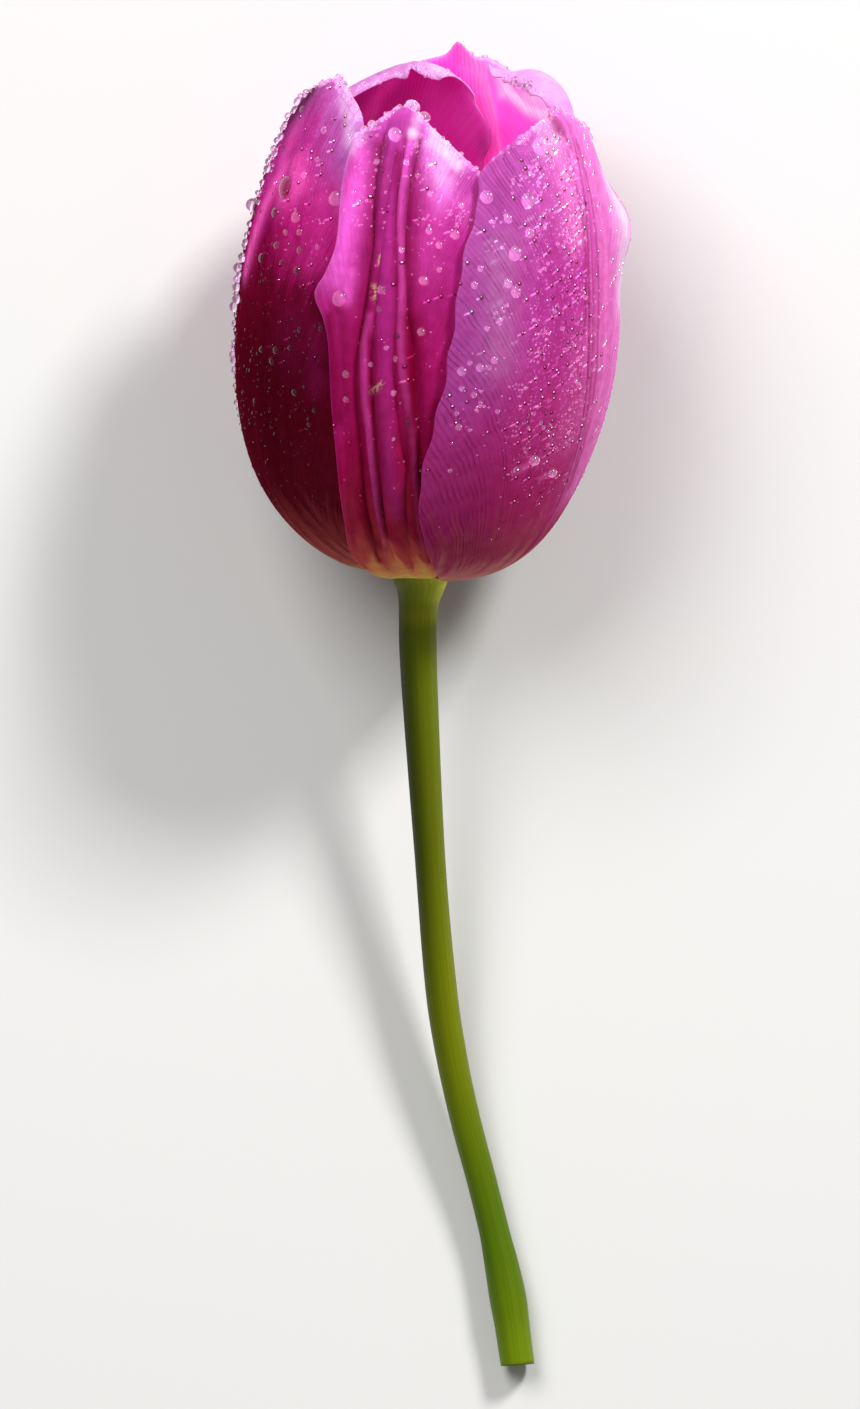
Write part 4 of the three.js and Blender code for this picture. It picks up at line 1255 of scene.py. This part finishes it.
def stem_material():
    material, make, shader = new_material("stem")
    place = make.add("UVMap", {"uv_map": "Along"}).outputs[0]
    spread = make.separated(place)
    fibres = make.add("Mapping", Vector=place, Scale=(60.0, 3.0, 1.0)).outputs[0]
    fibre = make.noise(fibres, 1.0, 4.0)
    blotch = make.noise(make.where(), 60.0, 3.0, "3D")
    along = make.maths("ADD", spread["Y"], make.times(make.minus(blotch, 0.5), 0.06))
    # Paler yellow-green near the bloom, its own colour made lighter there as painted light against
    # the bloom's shadow.
    tint = make.ramp(along, [
        (0.0, 0xdcd868), (0.035, 0xbcc440), (0.05, 0x98a828), (0.07, 0x7c8818), (0.1, 0x586408),
        (0.35, 0x566206), (0.6, 0x6c7804), (0.86, 0x547004), (1.0, 0x708808),
    ])
    # Painted shade and light: the side away from the light is darker and the side towards it
    # lighter, most of all near the bloom.
    sided = make.mix(make.between(spread["X"], 0.3, 0.7), make.tinted(tint, 0x8c8c98),
                     make.tinted(tint, (1.9, 1.75, 1.7), clamp=True))
    tint = make.mix(make.between(along, 0.3, 0.75, 1.0, 0.15), tint, sided)
    tint = make.mix(
        make.between(fibre, 0.35, 0.65, 0.0, 0.3), tint, make.tinted(tint, 0xb4c890))
    make.give(shader, Base_Color=tint, Roughness=make.between(blotch, 0.3, 0.7, 0.4, 0.5),
              Subsurface_Weight=0.1, Subsurface_Radius=(0.6, 1.0, 0.2), Subsurface_Scale=0.0015,
              Specular_IOR_Level=0.15, Normal=make.raised(fibre, 0.12, 0.0001))
    return material


def heart_material(slot):
    """Finish of the pistil's and stamens' parts: two colours in grains, and a rough surface."""
    if slot in bpy.data.materials:
        return bpy.data.materials[slot]
    first, second, grain, depth, rough = {
        "pistil": (0xb8c47c, 0x9cac5c, 300.0, 0.00005, 0.45),
        "stigma": (0xf0e6b8, 0xd8c888, 1600.0, 0.0002, 0.7),
        "filament": (0xe4dc9c, 0xc8b8a0, 500.0, 0.00005, 0.5),
        "anther": (0x3a1c38, 0x7c6a48, 2600.0, 0.00015, 0.9),
    }[slot]
    material, make, shader = new_material(slot)
    where = make.where()
    noise = make.noise(where, grain, 3.0, "3D")
    broad = make.noise(where, grain / 6, 2.0, "3D")
    amount = make.times(make.between(noise, 0.45, 0.62), make.between(broad, 0.3, 0.6))
    make.give(shader, Base_Color=make.mix(amount, colour(first), colour(second)),
              Roughness=make.between(broad, 0.3, 0.7, rough - 0.08, rough + 0.05),
              Subsurface_Weight=0.15, Subsurface_Scale=0.001,
              Normal=make.raised(noise, 0.6, depth))
    return material


def dew_material():
    if "dew" in bpy.data.materials:
        return bpy.data.materials["dew"]
    material, make, shader = new_material("dew")
    ripple = make.noise(make.where(), 400.0, 1.0, "3D")
    # Painted light and shade: the side of a drop towards the light is painted dark and a painted
    # glow gathers on its far side, with a painted highlight near the light; drops on unlit parts of
    # a petal are painted darker.
    towards, beside, lit = make.separated(make.attribute("sunward", "Vector"))
    water = make.mix(make.between(lit, 0.03, 0.12), (0.35, 0.12, 0.2, 1.0), (1.0, 0.86, 0.98, 1.0))
    water = make.mix(make.between(towards, 0.35, 0.95), water, (0.42, 0.2, 0.36, 1.0))
    gathered = make.times(make.between(towards, 0.6, -0.9, 0.12, 1.0), lit)
    spark = make.times(make.between(towards, 0.42, 0.52),
                       make.between(make.maths("ABSOLUTE", beside), 0.16, 0.06))
    spark = make.times(spark, make.between(towards, 0.76, 0.66))
    spark = make.times(spark, make.between(lit, 0.1, 0.5))
    glow = make.mix(gathered, BLACK, (0.29, 0.15, 0.3, 1.0))
    # The light passes through the drops to the petals.
    shadow = make.add("LightPath").outputs["Is Shadow Ray"]
    make.give(shader, Base_Color=water, Roughness=make.between(ripple, 0.3, 0.7, 0.0, 0.04),
              Emission_Color=make.mix(spark, glow, (1.0, 0.9, 1.0, 1.0)), Emission_Strength=1.0,
              IOR=1.333, Transmission_Weight=0.93, Coat_Weight=0.35, Coat_IOR=1.6,
              Coat_Roughness=0.02, Alpha=make.between(shadow, 0.0, 1.0, 1.0, 0.3, soft=False))
    return material


# ---- Settings ----

def size(name, text, default):
    return bpy.props.FloatProperty(
        name=name, description=text, default=default, min=0, unit="LENGTH", precision=5)


def tint(name, text, code):
    return bpy.props.FloatVectorProperty(
        name=name, description=text, default=colour(code)[:3], min=0, max=1, subtype="COLOR")


class TulipPetals(bpy.types.PropertyGroup):
    thickness: size("Thickness", "Thickness in the middle of a petal", 0.0006)
    thin_margin: bpy.props.FloatProperty(
        name="Margin", description="Thickness of the margins, as a share of the middle's",
        default=0.35, min=0, max=1, subtype="FACTOR")
    vein_spacing: size("Vein spacing", "Distance from one fine vein to the next", 0.00075)
    vein_strength: bpy.props.FloatProperty(
        name="Veins", description="How dark the veins are", default=0.75, min=0, max=1,
        subtype="FACTOR")
    margin_tint: tint("Margin colour", "Colour of the thin margins", 0xe8a4e4)


class TulipDew(bpy.types.PropertyGroup):
    seed: bpy.props.IntProperty(
        name="Seed", description="Another scatter of the small drops", default=7)


class TulipStage(bpy.types.PropertyGroup):
    floor: tint("Floor", "Colour of the floor", 0xe9e8e6)
    key: bpy.props.FloatProperty(
        name="Key light", description="Power of the light on the right", default=30.0, min=0,
        unit="POWER")
    fill: bpy.props.FloatProperty(
        name="Fill light", description="Power of the light on the left", default=32.0, min=0,
        unit="POWER")
    sky: bpy.props.FloatProperty(
        name="Surroundings", description="Strength of the light from all round", default=0.18,
        min=0)


# ---- Operators ----

def whorl(start, context):
    for name in PETALS:
        if name.startswith(start):
            petal_piece(name, context.scene.tulip_petals)
    return {"FINISHED"}


class OuterPetals(bpy.types.Operator):
    """Three petals of the outer whorl"""
    bl_idname = "tulip.outer_petals"
    bl_label = "Outer petals"

    def execute(self, context):
        return whorl("petal_outer", context)


class InnerPetals(bpy.types.Operator):
    """Three petals of the inner whorl"""
    bl_idname = "tulip.inner_petals"
    bl_label = "Inner petals"

    def execute(self, context):
        return whorl("petal_inner", context)


class Stem(bpy.types.Operator):
    """The stem, and the receptacle in the petals' feet"""
    bl_idname = "tulip.stem"
    bl_label = "Stem"

    def execute(self, context):
        mesh = tube_mesh("stem", 56, 240, stem_shape)
        new_piece("fine_stem", mesh, stem_material(), "stem", "stem")
        return {"FINISHED"}


class Pistil(bpy.types.Operator):
    """The ovary and the three-lobed stigma on it"""
    bl_idname = "tulip.pistil"
    bl_label = "Pistil"

    def execute(self, context):
        seat = RECEPTACLE_TOP + CLEARANCE
        heart_piece("ovary", "pistil", 54, 60, OVARY, (0, 0, seat))
        top = seat + OVARY[0] + CLEARANCE
        heart_piece("stigma", "stigma", 72, 40, STIGMA, (0, 0, top))
        return {"FINISHED"}


class Stamens(bpy.types.Operator):
    """Six stamens round the pistil"""
    bl_idname = "tulip.stamens"
    bl_label = "Stamens"

    def execute(self, context):
        for i in range(STAMENS):
            angle = math.tau * (i + 0.5) / STAMENS
            turn = np.array(
                Matrix.Rotation(angle, 3, "Z") @ Matrix.Rotation(STAMEN_SPLAY, 3, "Y"))
            foot = np.array([
                STAMEN_RADIUS * math.cos(angle), STAMEN_RADIUS * math.sin(angle),
                RECEPTACLE_TOP + CLEARANCE])
            heart_piece(f"filament_{i + 1}", "filament", 16, 24, FILAMENT, foot, turn)
            top = foot + turn @ np.array([0, 0, FILAMENT[0] + CLEARANCE])
            heart_piece(f"anther_{i + 1}", "anther", 32, 40, ANTHER, top, turn)
        return {"FINISHED"}


class Dew(bpy.types.Operator):
    """Dew on the petals: drops, scattered specks and beads along the rims"""
    bl_idname = "tulip.dew"
    bl_label = "Dew"

    def execute(self, context):
        for name in DEW:
            dew_piece(name, context.scene.tulip_dew)
        return {"FINISHED"}


class Stage(bpy.types.Operator):
    """A pale floor, soft studio light and a camera above the flower"""
    bl_idname = "tulip.stage"
    bl_label = "Stage"

    def execute(self, context):
        options = context.scene.tulip_stage
        bm = bmesh.new()
        bmesh.ops.create_grid(bm, x_segments=1, y_segments=1, size=FLOOR_SIZE)
        bmesh.ops.translate(bm, vec=(0, 0, -FLOOR_DROP), verts=bm.verts)
        mesh = mesh_of(bm, "floor")
        floor = new_object("floor", mesh)
        paper, make, shader = new_material("floor")
        noise = make.noise(make.where(), 3.0, dimensions="3D")
        plain = tuple(options.floor) + (1.0,)
        paler = tuple(min(1.0, c * 1.03) for c in options.floor) + (1.0,)
        make.give(shader, Base_Color=make.mix(noise, plain, paler), Roughness=0.7)
        mesh.materials.append(paper)

        for name, power, place, span in (
            ("key", options.key, KEY_LIGHT, 0.36),
            ("fill", options.fill, FILL_LIGHT, 1.2),
        ):
            light = bpy.data.lights.new(name, "AREA")
            light.energy = power
            light.size = span
            lamp = new_object(name, light)
            lamp.location = place
            lamp.rotation_euler = (Vector((0, 0, 0.025)) - Vector(place)).to_track_quat(
                "-Z", "Y").to_euler()
            lamp.visible_glossy = name == "key"

        world = bpy.data.worlds.new("studio")
        world.use_nodes = True
        backdrop = world.node_tree.nodes["Background"]
        backdrop.inputs["Color"].default_value = (1.0, 1.0, 1.0, 1.0)
        backdrop.inputs["Strength"].default_value = options.sky
        context.scene.world = world

        lens = bpy.data.cameras.new("camera")
        lens.lens = SENSOR * CAMERA_DISTANCE / FRAME_SPAN
        lens.sensor_width = SENSOR
        lens.clip_end = 20
        camera = new_object("camera", lens)
        camera.location = CAMERA_PLACE
        context.scene.camera = camera
        context.scene.view_settings.view_transform = "Standard"
        return {"FINISHED"}


class TulipPanel(bpy.types.Panel):
    bl_idname = "VIEW3D_PT_tulip"
    bl_label = "Cut Tulip"
    bl_space_type = "VIEW_3D"
    bl_region_type = "UI"
    bl_category = "Tulip"

    def draw(self, context):
        for group in (getattr(context.scene, name) for name in SETTINGS):
            box = self.layout.box()
            for name in group.__annotations__:
                box.prop(group, name)
        for operator in OPERATORS:
            self.layout.operator(operator.bl_idname)


OPERATORS = (OuterPetals, InnerPetals, Stem, Pistil, Stamens, Dew, Stage)
SETTINGS = {"tulip_petals": TulipPetals, "tulip_dew": TulipDew, "tulip_stage": TulipStage}
CLASSES = (*SETTINGS.values(), *OPERATORS, TulipPanel)


def register():
    for made in CLASSES:
        bpy.utils.register_class(made)
    for name, group in SETTINGS.items():
        setattr(bpy.types.Scene, name, bpy.props.PointerProperty(type=group))


def unregister():
    for name in SETTINGS:
        delattr(bpy.types.Scene, name)
    for made in reversed(CLASSES):
        bpy.utils.unregister_class(made)


def main():
    register()
    bpy.ops.tulip.outer_petals()
    bpy.ops.tulip.inner_petals()
    bpy.ops.tulip.stem()
    bpy.ops.tulip.pistil()
    bpy.ops.tulip.stamens()
    bpy.ops.tulip.dew()
    bpy.ops.tulip.stage()


if __name__ == "__main__":
    main()
